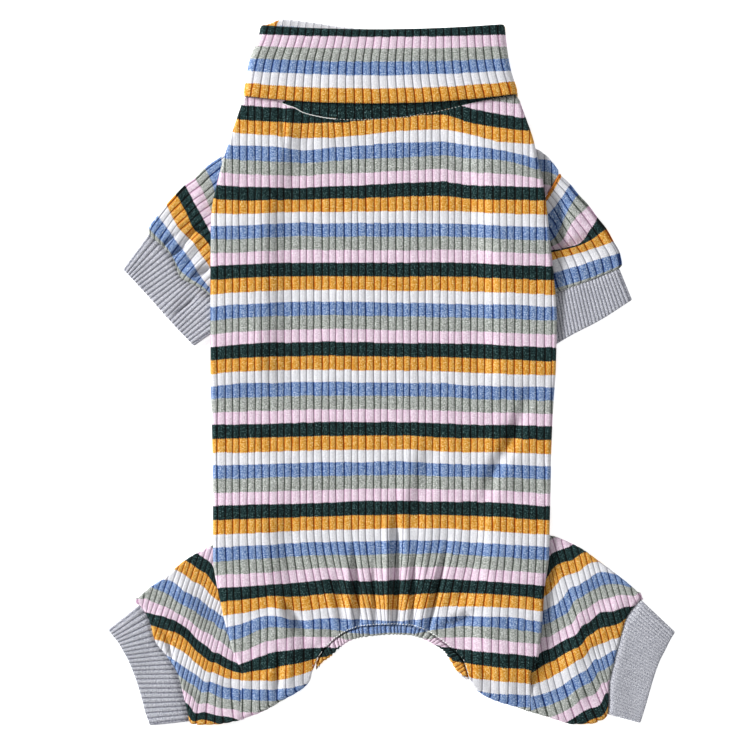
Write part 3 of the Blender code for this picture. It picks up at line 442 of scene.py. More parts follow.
def newMaterial(name, roughness, sheen):
    material = bpy.data.materials.new(name)
    material.use_nodes = True
    tree = material.node_tree
    shader = tree.nodes["Principled BSDF"]
    shader.inputs["Roughness"].default_value = roughness
    shader.inputs["Specular IOR Level"].default_value = 0.12
    shader.inputs["Sheen Weight"].default_value = sheen
    shader.inputs["Sheen Roughness"].default_value = 0.55
    return material, tree, shader, functools.partial(mathNode, tree)


def addBump(tree, shader, strength, distance, height):
    bump = addNode(tree, "Bump", Strength=strength, Distance=distance * mm, Height=height)
    tree.links.new(bump.outputs[0], shader.inputs["Normal"])


def yarnColour(tree, calc, settings, knit, fuzz):
    # the stripes, or a melange of two greys
    if not settings["melange"]:
        return useGroup(tree, stripeGroup, Tooth=stripeEdge["tooth"], **knit)["Color"]
    light, dark = settings["melange"]
    grain = calc("MULTIPLY_ADD", fuzz["Fleck"], 0.5, calc("MULTIPLY", fuzz["Fibre"], 1.1))
    spread = addNode(tree, "MapRange", Value=grain, From_Min=0.15, From_Max=0.95).outputs[0]
    return mixColour(tree, "MIX", spread, dark, light)


def deepening(tree, calc, colour, deepen):
    # The power to raise a colour to, which deepens and enriches it as shade in wool does: painted
    # shade in the grooves and between stitches, and random flecks and fibre. Dark yarn takes a
    # smaller share of it, and so does pale yarn.
    bright = addNode(tree, "RGBToBW", Color=colour).outputs[0]
    share = addNode(tree, "MapRange", Value=bright, From_Min=0.02, From_Max=0.15, To_Min=0.68)
    paler = addNode(tree, "MapRange", Value=bright, From_Min=0.35, From_Max=0.65, To_Max=0.3)
    share = calc("SUBTRACT", share.outputs[0], paler.outputs[0])
    return calc("MAXIMUM", calc("MULTIPLY_ADD", deepen, share, 1), 0.3)


def knitMaterial(name, settings):
    # settings say how much flecks deepen the colour and how much painted shade darkens the grooves,
    # and how many columns and rows of stitches a rib and a stripe have
    material, tree, shader, calc = newMaterial(name, settings["roughness"], settings["sheen"])
    uvNode = addNode(tree, "UVMap", {"uv_map": "knit"})
    split = addNode(tree, "SeparateXYZ", Vector=uvNode.outputs[0]).outputs
    knit = {"Rib": split["X"], "Stripe": split["Y"]}
    fuzz = useGroup(tree, fuzzGroup, **knit)
    stitch = useGroup(tree, stitchGroup, Columns=settings["columns"], Rows=settings["rows"], **knit)
    groove = useGroup(tree, grooveGroup, Rib=split["X"], Width=settings["grooveWidth"])["Groove"]
    colour = yarnColour(tree, calc, settings, knit, fuzz)
    fleck = calc("MULTIPLY_ADD", calc("ABSOLUTE", fuzz["Fleck"]), 0.35, fuzz["Fleck"])
    deepen = calc("MULTIPLY", fleck, -settings["fleck"])
    # painted shade: the colour deepens in the grooves between ribs
    deepen = calc("MULTIPLY_ADD", groove, settings["grooveShadeDeepening"], deepen)
    # painted shade where each stitch lies low; speck and fibre add random yarn tone
    for value, amount in ((stitch["Height"], 0.22), (stitch["Speck"], 0.4), (fuzz["Fibre"], 1.2)):
        deepen = calc("MULTIPLY_ADD", calc("SUBTRACT", 0.5, value), amount, deepen)
    power = deepening(tree, calc, colour, deepen)
    colour = addNode(tree, "Gamma", Color=colour, Gamma=power).outputs[0]
    tone = calc("MULTIPLY_ADD", fuzz["Mottle"], 0.3, 0.85)
    # painted shade: the grooves are darkened further, on top of the random mottling
    tone = calc("MULTIPLY", tone, calc("MULTIPLY_ADD", groove, -settings["grooveShade"], 1))
    colour = mixColour(tree, "MULTIPLY", 1, colour, greyColour(tree, tone))
    tree.links.new(colour, shader.inputs["Base Color"])
    relief = fuzz["Fibre"]
    for value, amount in ((stitch["Height"], 0.6), (fuzz["Fleck"], 0.35), (groove, -1.8)):
        relief = calc("MULTIPLY_ADD", value, amount, relief)
    addBump(tree, shader, 0.7, 0.2, relief)
    return material


# the groove settings paint shade into the grooves between ribs
stripedKnit = knitMaterial("striped_knit_cloth", {
    "melange": None, "columns": 4, "rows": 10, "grooveWidth": 0.08, "grooveShadeDeepening": 1.5,
    "grooveShade": 0.14, "fleck": 0.7, "roughness": 0.92, "sheen": 0.05,
})
greyRib = knitMaterial("grey_melange_rib", {
    "melange": ((0.74, 0.75, 0.8, 1), (0.15, 0.155, 0.205, 1)), "columns": 3, "rows": 11,
    "grooveWidth": 0.16, "grooveShadeDeepening": 0.9, "grooveShade": 0.1, "fleck": 0.3,
    "roughness": 0.95, "sheen": 0.08,
})
brushedRib = knitMaterial("grey_melange_brushed", {
    "melange": ((0.78, 0.79, 0.84, 1), (0.12, 0.125, 0.175, 1)), "columns": 2, "rows": 11,
    "grooveWidth": 0.2, "grooveShadeDeepening": 0.25, "grooveShade": 0.03, "fleck": 0.45,
    "roughness": 0.95, "sheen": 0.08,
})


def threadMaterial(name, colour):
    # twisted sewing thread: fine slanting plies along the stitch
    material, tree, shader, calc = newMaterial(name, 0.7, 0.1)
    place = addNode(tree, "TexCoord").outputs["Object"]
    bands = {"wave_type": "BANDS", "bands_direction": "DIAGONAL"}
    ply = addNode(tree, "TexWave", bands, Vector=place, Scale=900, Distortion=1.5, Detail=1)
    fibre = addNode(tree, "TexNoise", Vector=place, Scale=2500, Detail=2)
    tint = greyColour(tree, calc("MULTIPLY_ADD", fibre.outputs["Fac"], 0.3, 0.8))
    tree.links.new(mixColour(tree, "MULTIPLY", 1, colour, tint), shader.inputs["Base Color"])
    addBump(tree, shader, 0.5, 0.05, ply.outputs["Fac"])
    return material


whiteThread = threadMaterial("white_sewing_thread", (0.93, 0.94, 0.92, 1))
orangeThread = threadMaterial("orange_sewing_thread", (0.5, 0.15, 0.015, 1))
print("materials ready")

# the back

backPanel = {
    "top": 4.1, "lift": 2.8, "liftReach": (29, 45), "radius": 2.05, "lip": 3, "noLip": 0.15,
    "lipTurn": 140, "plainTurn": 20, "rows": 112, "turnSteps": 8, "firstRib": -103, "lastRib": 46.3,
    "seamGap": 0.3, "footScan": (-120, -203, -0.2),
}
backSides = table(
    "y left leftLift leftTurn right rightLift rightTurn",
    (157, -84, 0, 60, 72, 0, 60), (146, -87.5, 0.2, 95, 76, 0.1, 95), (131, -92.5, 0.9, 95, 81, 1.1, 95),
    (119.5, -96, 1, 95, 83.5, 1.2, 95), (106, -99.5, 1, 95, 86.5, 1.3, 95),
    (90, -102.5, 1, 95, 88.5, 1.55, 95), (61, -103, 1, 95, 91.5, 1.45, 95), (30, -103, 1, 95, 94, 1, 95),
    (4, -103, 1, 95, 93.5, 1, 95), (-17, -102.5, 0, 180, 92, 0, 180), (-40, -102, 0, 180, 91, 0, 180),
    (-62, -101.5, 0, 180, 90.5, 0, 180), (-87, -101.5, 1, 95, 90, 1, 95),
    (-105, -101.5, 1, 95, 89.5, 1, 95), (-122, -99, 1, 95, 87, 1, 95), (-144.5, -94, 1, 95, 85.5, 1, 95),
    (-163, -88.5, 1, 95, 83.2, 1, 95), (-171, -84.2, 1, 60, 78.9, 1, 60),
    (-179.5, -85, 0.3, 20, 79, 0.3, 20), (-187, -85.9, 0, 20, 79.2, 0, 20), (-198, -87, 0, 20, 79.5, 0, 20),
)
neckSeam = table(
    "x y",
    (-84.5, 157.4), (-74, 156.6), (-65.5, 155.1), (-60, 152.6), (-55, 150.9), (-50.4, 148.3),
    (-43.5, 146.4), (-35, 144.9), (-23.5, 144.1), (-8.5, 144.5), (2.6, 145.2), (15, 146.9), (25.4, 148.6),
    (34, 150.6), (46.5, 153.8), (54, 155.3), (65.3, 157.4), (72.5, 158.4),
)
backFoot = table(
    "x y turn",
    (-87, -198, 60), (-80.5, -195.5, 120), (-74, -193, 170), (-60.5, -185.5, 180), (-52, -180.5, 150),
    (-47.5, -176.5, 60), (-45.2, -170, 20), (-42, -162, 20), (-38, -156.5, 20), (-32, -151, 20),
    (-23.5, -146, 20), (-15, -144, 20), (-1, -143.2, 20), (10.5, -143.8, 20), (19, -146.3, 20),
    (27.5, -151, 20), (34.5, -156.5, 20), (39.5, -161.5, 20), (42.5, -167, 20), (45, -174.5, 20),
    (48, -180, 60), (54.5, -184.5, 150), (62, -187.5, 180), (70.5, -190, 170), (76, -192, 100),
    (80.5, -193.5, 60),
)
side = {name: smooth(backSides["y"], backSides[name]) for name in backSides if name != "y"}
neckY = smooth(neckSeam["x"], neckSeam["y"])
footY = smooth(backFoot["x"], backFoot["y"])
footTurn = smooth(backFoot["x"], backFoot["turn"])

# How the straight ribs lean: each row pulls the ribs near x towards or away from it, by share of
# their distance, from one level to another.
ribLeans = table(
    "x reach fromY toY pull",
    (-1.5, 48, -88, -146, 0.45), (-1.5, 22, -120, -146, 0.2), (-40, 16, 126, 152, 0.25),
)


def ribX(c, y):
    # where rib line c lies at height y
    x = backPanel["firstRib"] + cloth["ribPitch"] * c
    for middle, reach, fromY, toY, pull in zip(*ribLeans.values()):
        away = x - middle
        x = x - pull * ease(fromY, toY, y) * away * np.exp(-((away / reach) ** 2))
    return x


def sideInset(turn):
    return backPanel["radius"] * np.sin(np.radians(np.minimum(turn, 90)))


levelsY = np.arange(-204.0, 162.0, 1.0)
allRibs = np.linspace(-3, 51, 1081)
ribAtLeft, ribAtRight = [], []
for level in levelsY:
    lines = ribX(allRibs, level)
    left = side["left"](level) + sideInset(side["leftTurn"](level))
    right = side["right"](level) - sideInset(side["rightTurn"](level))
    ribAtLeft.append(np.interp(left, lines, allRibs))
    ribAtRight.append(np.interp(right, lines, allRibs))


def pressIn(inside, cut, margin=1.0):
    # squeezes the ribs past a side fold into the last one beside it
    edge = math.e ** (-(cut + margin) / margin)
    near = margin * (np.exp(np.minimum(inside - margin, 0) / margin) - edge) / (1 - edge)
    return np.where(inside > margin, inside, near)


def ribOnBack(c, y):
    low, high = np.interp(y, levelsY, ribAtLeft), np.interp(y, levelsY, ribAtRight)
    c = low + pressIn(c - low, low)
    return high - pressIn(high - c, backPanel["lastRib"] - high)


def backX(c, y):
    return ribX(ribOnBack(c, y), y)


def backTop(x, y):
    liftLeft = side["leftLift"](y) * (1 - ease(*backPanel["liftReach"], x - side["left"](y)))
    liftRight = side["rightLift"](y) * (1 - ease(*backPanel["liftReach"], side["right"](y) - x))
    return backPanel["top"] + backPanel["lift"] * (liftLeft + liftRight) + creaseHeight(x, y)


def border(grid):
    # a grid's edge as one ring: first row, last column, last row back, first column back
    return np.concatenate([grid[0], grid[1:, -1], grid[-1, -2::-1], grid[-2:0:-1, 0]])


def ringNormals(ring):
    edge = unit(np.roll(ring, -1, axis=0) - ring)
    along = unit(edge + np.roll(edge, 1, axis=0))
    area = np.sum(ring[:, 0] * np.roll(ring[:, 1], -1) - np.roll(ring[:, 0], -1) * ring[:, 1])
    return np.sign(area) * np.stack([along[:, 1], -along[:, 0]], axis=1)


def ontoBorder(values, shape):
    # puts values given round the border back on the grid's edge
    grid = np.zeros(shape + values.shape[1:])
    rows, columns = np.indices(shape)
    grid[border(rows), border(columns)] = values
    return grid


def makeBack():
    lastRib, steps = backPanel["lastRib"], backPanel["turnSteps"]
    c = np.linspace(0, lastRib, int(lastRib * cloth["ribSteps"]) + 1)
    scanY = np.arange(*backPanel["footScan"])[:, None]
    scanX = backX(c[None, :], scanY)
    slant = np.sqrt(1 + (footY(scanX + 0.5) - footY(scanX - 0.5)) ** 2)
    above = scanY - footY(scanX) - sideInset(footTurn(scanX)) * slant
    foot = scanY[np.argmax(above < 0, axis=0), 0]
    neck = neckY(backX(c, 150)) - backPanel["seamGap"] - 1.1 * sideInset(backPanel["plainTurn"])
    t = np.linspace(0, 1, backPanel["rows"])[:, None]
    y = neck + t * (foot - neck)
    u = ribOnBack(c[None, :], y)
    x = ribX(u, y)
    top = backTop(x, y)

    shape = x.shape
    ring = border(np.dstack([x, y]))
    normal = ontoBorder(ringNormals(ring), shape)
    turn = np.zeros(shape)
    turn[:, 0] = side["leftTurn"](y[:, 0])
    turn[:, -1] = side["rightTurn"](y[:, -1])
    turn[0] = backPanel["plainTurn"]
    turn[-1, 1:-1] = footTurn(x[-1, 1:-1])
    turn = np.radians(turn)

    rows, columns = shape[0] + 2 * steps, shape[1] + 2 * steps
    bigJ, bigI = np.indices((rows, columns))
    j, i = np.clip(bigJ - steps, 0, shape[0] - 1), np.clip(bigI - steps, 0, shape[1] - 1)
    overX = np.maximum(steps - bigI, bigI - steps - shape[1] + 1).clip(0)
    overY = np.maximum(steps - bigJ, bigJ - steps - shape[0] + 1).clip(0)
    share = np.minimum(np.maximum(overX, overY) / (steps - 1), 1)
    lipped = np.maximum(overX, overY) == steps
    angle = turn[j, i] * share
    curledUnder = ease(math.radians(backPanel["lipTurn"]), math.pi, turn[j, i])
    lip = lipped * (backPanel["noLip"] + backPanel["lip"] * curledUnder)
    radius = backPanel["radius"]
    sideways = np.where(overX > 0, np.sign(bigI - steps - 1), 0)
    ribHere = u[j, i] + sideways * radius * angle / cloth["ribPitch"]
    stripeHere = bodyStripe(x, y)[j, i]
    endways = np.where(overY > 0, np.sign(bigJ - steps - 1), 0)
    stripeHere = stripeHere + endways * radius * angle / cloth["stripe"]
    fade = 1 - share**2
    ribHere = wander(ribHere, stripeHere)
    relief = cloth["ribHeight"] * ribCrest(ribHere) * np.where(overX + overY > 0, fade, 1)
    out = (radius + relief) * np.sin(angle) + lip * np.cos(angle)
    z = top[j, i] - radius + (radius + relief) * np.cos(angle) - lip * np.sin(angle)
    plan = np.dstack([x, y])[j, i] + normal[j, i] * out[..., None]
    points = np.dstack([plan, np.maximum(z, 0)])
    return points, np.dstack([ribHere, stripeHere])


backPoints, backKnit = makeBack()
back = knitPiece("back", backPoints, backKnit, stripedKnit, ["back_panel"], cloth["wall"])
print("back done")

# sleeves, by stripe: each row is one stripe line from the front fold a, past c, e and d, to the
# armpit fold b under the back

leftSleeveLines = table(
    "v ax ay cx cy ex ey dx dy bx by",
    (8.6, -93, 126, -91.5, 112, -89.5, 95, -87, 74, -80, 38.5),
    (10, -106.3, 116.7, -101.5, 106, -98.5, 92, -95, 76, -82, 37),
    (11, -112, 111.3, -106, 100.5, -102, 90, -98, 77, -83, 36),
    (12, -117.4, 107.3, -113, 98.5, -109, 91.5, -104.8, 83.4, -84, 35),
    (13, -122.8, 101.9, -117.7, 92.8, -113.5, 83.2, -106, 75.9, -85.5, 34),
    (14, -128, 96.2, -122.3, 84.5, -113.5, 75.2, -105.5, 63.5, -87, 33.2),
    (15, -133.1, 89.9, -125, 78.5, -115.5, 66, -108.5, 54.8, -88.3, 32.3),
    (16, -138.2, 82.5, -127.7, 70.9, -119.6, 57.6, -107.5, 49, -90, 31),
    (16.5, -138.6, 79.2, -125.4, 66.2, -120.6, 54.9, -106.5, 46.4, -91, 30.3),
)
rightSleeveLines = table(
    "v ax ay cx cy dx dy bx by",
    (7.9, 96.5, 112.5, 91.5, 104, 86, 96, 70, 76), (9, 101.7, 107.6, 97.2, 100.7, 89.8, 91, 70, 72),
    (10, 106.3, 101.9, 100.6, 93.3, 91.5, 76.5, 70, 68.2),
    (11, 112.4, 95.4, 103, 86.3, 95.2, 74.3, 70, 66.6), (12, 117.4, 88.5, 113.1, 81.9, 106, 73.2, 70, 65.6),
    (13, 122.6, 82, 113.1, 75.6, 105, 72.2, 70, 64.6), (14, 126.6, 75, 112, 69.8, 98, 66, 72, 59),
    (15, 130.2, 68.4, 114, 63.3, 97, 58.3, 74.5, 51.5), (16, 131.4, 61.8, 116, 55.3, 99, 49.8, 77.5, 43.5),
    (16.4, 130, 59.5, 113.5, 53, 97, 47, 80, 40.5),
)


def lineGrid(lines, rows, across):
    # points along each curved line, then along the piece through the same share of every line
    places = [place for place in "acedb" if place + "x" in lines]
    corner = np.stack([np.column_stack([lines[n + "x"], lines[n + "y"]]) for n in places], axis=1)
    drawn = []
    for line in corner:
        run = distanceAlong(line)
        drawn.append(smooth(run / run[-1], line)(across))
    share = np.linspace(0, 1, len(drawn))
    return smooth(share, np.array(drawn))(rows), smooth(share, lines["v"])(rows)


def tuckedIn(height, flat, v, tuck):
    # the cloth sinks into a fold where a lower stripe laps over it, and beside the back's edge
    fromFold = np.linalg.norm(flat - flat[:, :1], axis=-1)
    lapEdge = flat[np.argmin(np.abs(v - tuck["stripe"]))][::6]
    toLap = np.linalg.norm(flat[:, :, None] - lapEdge, axis=-1).min(axis=-1)
    fromBack = flat[..., 0] - side["right"](flat[..., 1])
    besideBack = (1 - ease(*tuck["besideBack"], fromBack)) * ease(*tuck["begins"], v)[:, None]
    sunk = np.maximum(1 - ease(0, tuck["reach"], toLap), besideBack)
    sunk = sunk * ease(*tuck["inward"], fromFold)
    sunk = sunk * (v < tuck["stripe"] - tuck["lap"])[:, None]
    lapped = np.exp(-(((v - tuck["stripe"] - 0.25) / 0.5) ** 2))[:, None] * ease(*tuck["inward"], fromFold)
    return height - tuck["depth"] * sunk + tuck["lapRise"] * lapped


def aboveLower(points, outward, v, tuck):
    # the cloth round the lap lies on the sleeve's lower side
    level = tuck["lowerTop"]
    nearLap = np.exp(-(((v[:, None] - tuck["stripe"]) / 1.2) ** 4))
    points[..., 2] = np.maximum(points[..., 2], level * nearLap)
    points[..., 2] = np.where(outward[..., 2] > 0.3, np.maximum(points[..., 2], level), points[..., 2])


def makeSleeve(name, lines, settings, node):
    across = np.linspace(0, 1, int(settings["ribs"] * cloth["ribSteps"]) + 1)
    rows = np.linspace(0, 1, settings["rows"])
    flat, v = lineGrid(lines, rows, across)
    height = settings["height"] + cloth["ribHeight"] + creaseHeight(flat[..., 0], flat[..., 1])
    tuck = settings["tuck"]
    if tuck:
        height = tuckedIn(height, flat, v, tuck)
    seam = np.exp(-((1 - rows) * settings["length"] / 1.3) ** 2)[:, None]
    height = height - settings["seamDip"] * seam
    points, outward, around = pressedTube(flat, height, settings["fold"])
    ribs = ribCount(around, settings["ribs"], settings["turnRibs"])
    ribs = wander(ribs[None, :], v[:, None])
    points = sinkGrooves(points, outward, ribCrest(ribs, 0.12))
    if tuck:
        aboveLower(points, outward, v, tuck)
    knit = np.dstack(np.broadcast_arrays(ribs, v[:, None]))
    sleeve = knitPiece(name, points, knit, stripedKnit, [node], cloth["wall"])


sleeveCloth = {"turnRibs": 0.5, "height": 3.7, "fold": 1.9, "seamDip": 0.9}
makeSleeve("left_sleeve_knit", leftSleeveLines, sleeveCloth | {
    "ribs": 18.5, "rows": 58, "length": 60, "tuck": None, "flat": (0.18, 0.058), "area": 0.0088,
}, "left_sleeve")
makeSleeve("right_sleeve_knit", rightSleeveLines, sleeveCloth | {
    "ribs": 11.5, "rows": 90, "length": 65, "flat": (0.13, 0.07), "area": 0.0075,
    "tuck": {"stripe": 13, "begins": (8.2, 9.6), "besideBack": (2, 15), "reach": 8, "inward": (2, 12),
             "depth": 2.9, "lap": 0.02, "lapRise": 0.6, "lowerTop": 1.15},
}, "right_sleeve")
print("sleeves done")

# legs, by rib: each row is one rib line from the upper fold a to the cuff seam or lower fold
# b, with the stripe that it starts and ends on

leftLegRibs = table(
    "ax ay bx by v0 v2 v4 v5 v6 v7 v8 v9 v10",
    (-144.5, -128, -143.5, -132, 41.2, 41.3, 41.4, 41.5, 41.5, 41.6, 41.6, 41.7, 41.7),
    (-137.5, -122, -140.5, -136, 40.3, 40.6, 41, 41.1, 41.3, 41.5, 41.6, 41.8, 42),
    (-128.5, -116, -137.5, -142, 39, 39.8, 40.5, 40.8, 41.2, 41.6, 42, 42.4, 42.8),
    (-119.5, -108, -134.6, -152.5, 37.6, 38.8, 40, 40.6, 41.4, 42.2, 42.8, 43.5, 44.1),
    (-109, -101.5, -128.1, -161, 36, 37.6, 39.2, 40, 41.1, 42.4, 43.3, 44.1, 45),
    (-99, -97, -122, -170.5, 34.6, 36.7, 38.8, 39.8, 40.9, 42.4, 43.6, 44.6, 45.9),
    (-92.5, -96, -118.8, -182, 33.2, 35.9, 38.7, 40, 41.3, 42.8, 44.3, 45.7, 47.3),
    (-87, -95.5, -116, -193.5, 32.3, 35.6, 38.9, 40.5, 41.9, 43.5, 45.3, 46.9, 48.8),
    (-85, -95.5, -114.5, -199.3, 32.1, 35.5, 39, 40.6, 42.1, 43.9, 45.7, 47.3, 49.4),
    (-83, -95.5, -110.5, -200.6, 31.6, 35.1, 38.7, 40.4, 41.9, 43.7, 45.6, 47.2, 49.4),
    (-80, -95.5, -100.5, -200.4, 30.8, 34.3, 37.8, 39.5, 41.2, 43, 45, 46.6, 48.9),
    (-78, -95.5, -88.4, -198.4, 30.5, 33.8, 37.2, 38.8, 40.5, 42.1, 44.4, 46, 47.9),
    (-74.5, -95.5, -84, -197.4, 30.3, 33.4, 36.7, 38.3, 40, 41.6, 43.9, 45.5, 47.4),
)
rightLegRibs = table(
    "ax ay bx by v0 v2 v4 v5 v6 v7 v8 v9 v10",
    (140, -124.5, 141.5, -129, 41.2, 41.3, 41.4, 41.5, 41.6, 41.6, 41.7, 41.7, 41.8),
    (135, -120, 139, -132, 39.9, 40.4, 40.8, 41, 41.2, 41.4, 41.6, 41.8, 42),
    (125.5, -112.5, 133.5, -140, 39, 39.9, 40.7, 41.1, 41.4, 41.8, 42.2, 42.6, 43),
    (116, -105.5, 129.8, -152.5, 38, 39.4, 40.6, 41.2, 41.8, 42.4, 43, 43.6, 44.3),
    (109, -100.5, 126.6, -165, 37, 38.8, 40.6, 41.6, 42.5, 43.2, 44, 45, 46),
    (100.5, -96, 123.6, -179.5, 35.9, 38.1, 40.5, 41.6, 42.8, 44, 45.1, 46.3, 47.6),
    (91, -92.5, 123.4, -190, 35, 37.7, 40.3, 41.7, 43.1, 44.6, 46, 47.5, 49.1),
    (87.5, -92, 122.5, -195.5, 34.7, 37.6, 40.1, 41.6, 43.1, 44.7, 46.2, 47.7, 49.4),
    (85, -92, 113, -200, 34.3, 37.2, 39.6, 41.2, 42.8, 44.3, 45.8, 47.4, 49),
    (83, -92, 103, -200.2, 33.7, 36.6, 39.3, 40.7, 42.3, 43.7, 45.1, 46.5, 48.2),
    (81, -92, 96, -198.5, 33.5, 36.2, 39, 40.3, 41.8, 43.2, 44.5, 45.9, 47.4),
    (79.5, -92, 89, -196.2, 33.6, 36.2, 38.8, 40.1, 41.4, 42.7, 43.9, 45.3, 46.7),
    (78, -92, 81.6, -194, 33.5, 36, 38.4, 39.7, 40.9, 42.1, 43.3, 44.8, 46.1),
    (74, -92, 76.8, -192.6, 33.3, 35.7, 38, 39.3, 40.5, 41.7, 42.9, 44.4, 45.6),
)
legPlaces = np.array([0, 0.2, 0.4, 0.5, 0.6, 0.7, 0.8, 0.9, 1])  # where v0 to v10 lie between a and b


def closingRows(points, fold):
    # rounds off the closed end before the first section
    first, second = points[0], points[1]
    ahead = unit(np.mean(first[:, :2] - second[:, :2], axis=0))
    rows = []
    for angle in np.radians([90, 60, 30]):
        ring = first.copy()
        middle = np.mean(first[:, 2])
        ring[:, 2] = middle + (first[:, 2] - middle) * math.cos(angle)
        ring[:, :2] += ahead * fold * math.sin(angle)
        rows.append(ring)
    return np.concatenate([rows, points])


def makeLeg(name, ribs, settings, node):
    stations = len(ribs["ax"])
    corner, run = linesAcross(ribs)
    ribTotal = run[-1] / settings["ribPitch"]
    rows = np.linspace(0, 1, int(ribTotal * cloth["ribSteps"]) + 1)
    ends = smooth(run / run[-1], corner)(rows)
    columns = np.stack([ribs[f"v{round(place * 10)}"] for place in legPlaces], 1)
    w = np.linspace(0, 1, settings["across"])
    flat = planBetween(ends, w)
    v = smooth(legPlaces, smooth(run / run[-1], columns)(rows).T)(w).T
    height = settings["height"] + cloth["ribHeight"] + creaseHeight(flat[..., 0], flat[..., 1])
    # level with the back where they meet, then down under its edge
    toEnd = np.linalg.norm(flat[-1:] - flat, axis=-1)
    height = height + settings["endRise"] * np.exp(-(((toEnd - 5) / 4) ** 2))
    height = height - settings["endDip"] * (1 - ease(*settings["endDipReach"], toEnd))
    seamEnd = np.interp(settings["seamStation"], np.arange(stations), run / run[-1])
    openB = 1 - ease(seamEnd, seamEnd + 0.05, rows)
    fromSeam = np.linalg.norm(flat[:, -1:] - flat, axis=-1)
    height = height - settings["seamDip"] * openB[:, None] * np.exp(-((fromSeam / 1.3) ** 2))
    points, outward, around = pressedTube(flat, height, settings["fold"], openB=openB)
    # ribs lean over towards the back's edge
    toB = np.interp(around, [0, 1, 2, 3, 4], [0, 1, 1, 0, 0])[None, :]
    leant = toB * (1 - toB)
    u = rows[:, None] * ribTotal + settings["lean"] * 4 * leant * ease(*settings["leans"], rows)[:, None]
    u = wander(u, around[None, :] * 9)
    points = sinkGrooves(points, outward, ribCrest(u, 0.12))
    count = len(w)
    steps = (points.shape[1] - 2 * count - 1) // 2
    arc = np.linspace(0, math.pi * settings["fold"] / cloth["stripe"], steps + 2)[1:-1]
    bSide = v[:, -1:] + arc
    aSide = v[:, :1] - arc[::-1]
    stripe = np.concatenate([v, bSide, v[:, ::-1] + arc[-1], aSide, v[:, :1]], axis=1)
    points = closingRows(points, settings["fold"])
    stripe = np.concatenate([np.repeat(stripe[:1], 3, axis=0), stripe])
    knit = np.dstack([np.concatenate([u[:1] - 0.3, u[:1] - 0.2, u[:1] - 0.1, u]), stripe])
    holes = np.zeros(points.shape[:2], bool)
    openRows = np.concatenate([[0, 0, 0], openB]) > 0.5
    holes[:, count - 1 : count + steps] = openRows[:, None]
    leg = knitPiece(name, points, knit, stripedKnit, [node], cloth["wall"], holes)


legCloth = {
    "across": 64, "height": 3.7, "fold": 1.9, "seamDip": 0.9, "flat": (0.20, 0.08), "area": 0.0103,
    "endRise": 0.3, "endDip": 1.5, "endDipReach": (0.8, 2.8), "leans": (0.35, 0.9),
}
makeLeg("left_leg_knit", leftLegRibs, legCloth | {
    "ribPitch": 3.2, "seamStation": 8.3, "lean": 1.2}, "left_leg")
makeLeg("right_leg_knit", rightLegRibs, legCloth | {
    "ribPitch": 3.5, "seamStation": 7.3, "lean": -1.2}, "right_leg")
print("legs done")

# cuffs, by rib: a on the seam to the sleeve or leg, b on the opening

leftSleeveCuffRibs = table(
    "ax ay bx by",
    (-138.4, 78.8, -153, 59), (-125.6, 66, -145.5, 51), (-120.4, 54.8, -137.5, 42.2),
    (-106.8, 45.8, -125, 28.2), (-91.3, 30, -112.5, 15),
)
rightSleeveCuffRibs = table(
    "ax ay bx by",
    (129.8, 59.1, 137, 41.5), (113, 52.5, 119, 30), (96, 46.2, 101, 20.5), (80.2, 40, 85, 10.5),
)
leftLegCuffRibs = table(
    "ax ay bx by",
    (-144.3, -132.6, -161.5, -146), (-141, -136.8, -159.6, -148.6), (-138.2, -142.6, -157.3, -151.3),
    (-135.4, -152.8, -154, -156.7), (-128.9, -161.4, -150.4, -163.4), (-122.8, -170.8, -147, -171.3),
    (-119.6, -182.2, -143.2, -182.4), (-116.8, -193.6, -139.6, -195.2), (-115.6, -198.6, -137.5, -201),
)
rightLegCuffRibs = table(
    "ax ay bx by",
    (142.2, -129.3, 161.5, -147.5), (139.8, -132.4, 159.6, -150.6), (134.3, -140.2, 156.9, -156),
    (130.6, -152.8, 152.6, -164.7), (127.4, -165.2, 148.6, -176.2), (124.4, -179.6, 144.9, -188.8),
    (124.2, -190, 142.5, -196.5), (123.6, -194.6, 141.5, -199.5),
)
cuffCloth = {
    "height": 3.6, "fold": 1.7, "wall": 0.62, "turnRadius": 0.75, "turnLength": 1.4, "turnRibs": 1,
    "ribSteps": 6, "innerEnd": 0.45, "innerRows": 8, "seamDip": 0.7, "seamReach": 1.2, "under": 2.2,
    "underTop": 2.1,
}


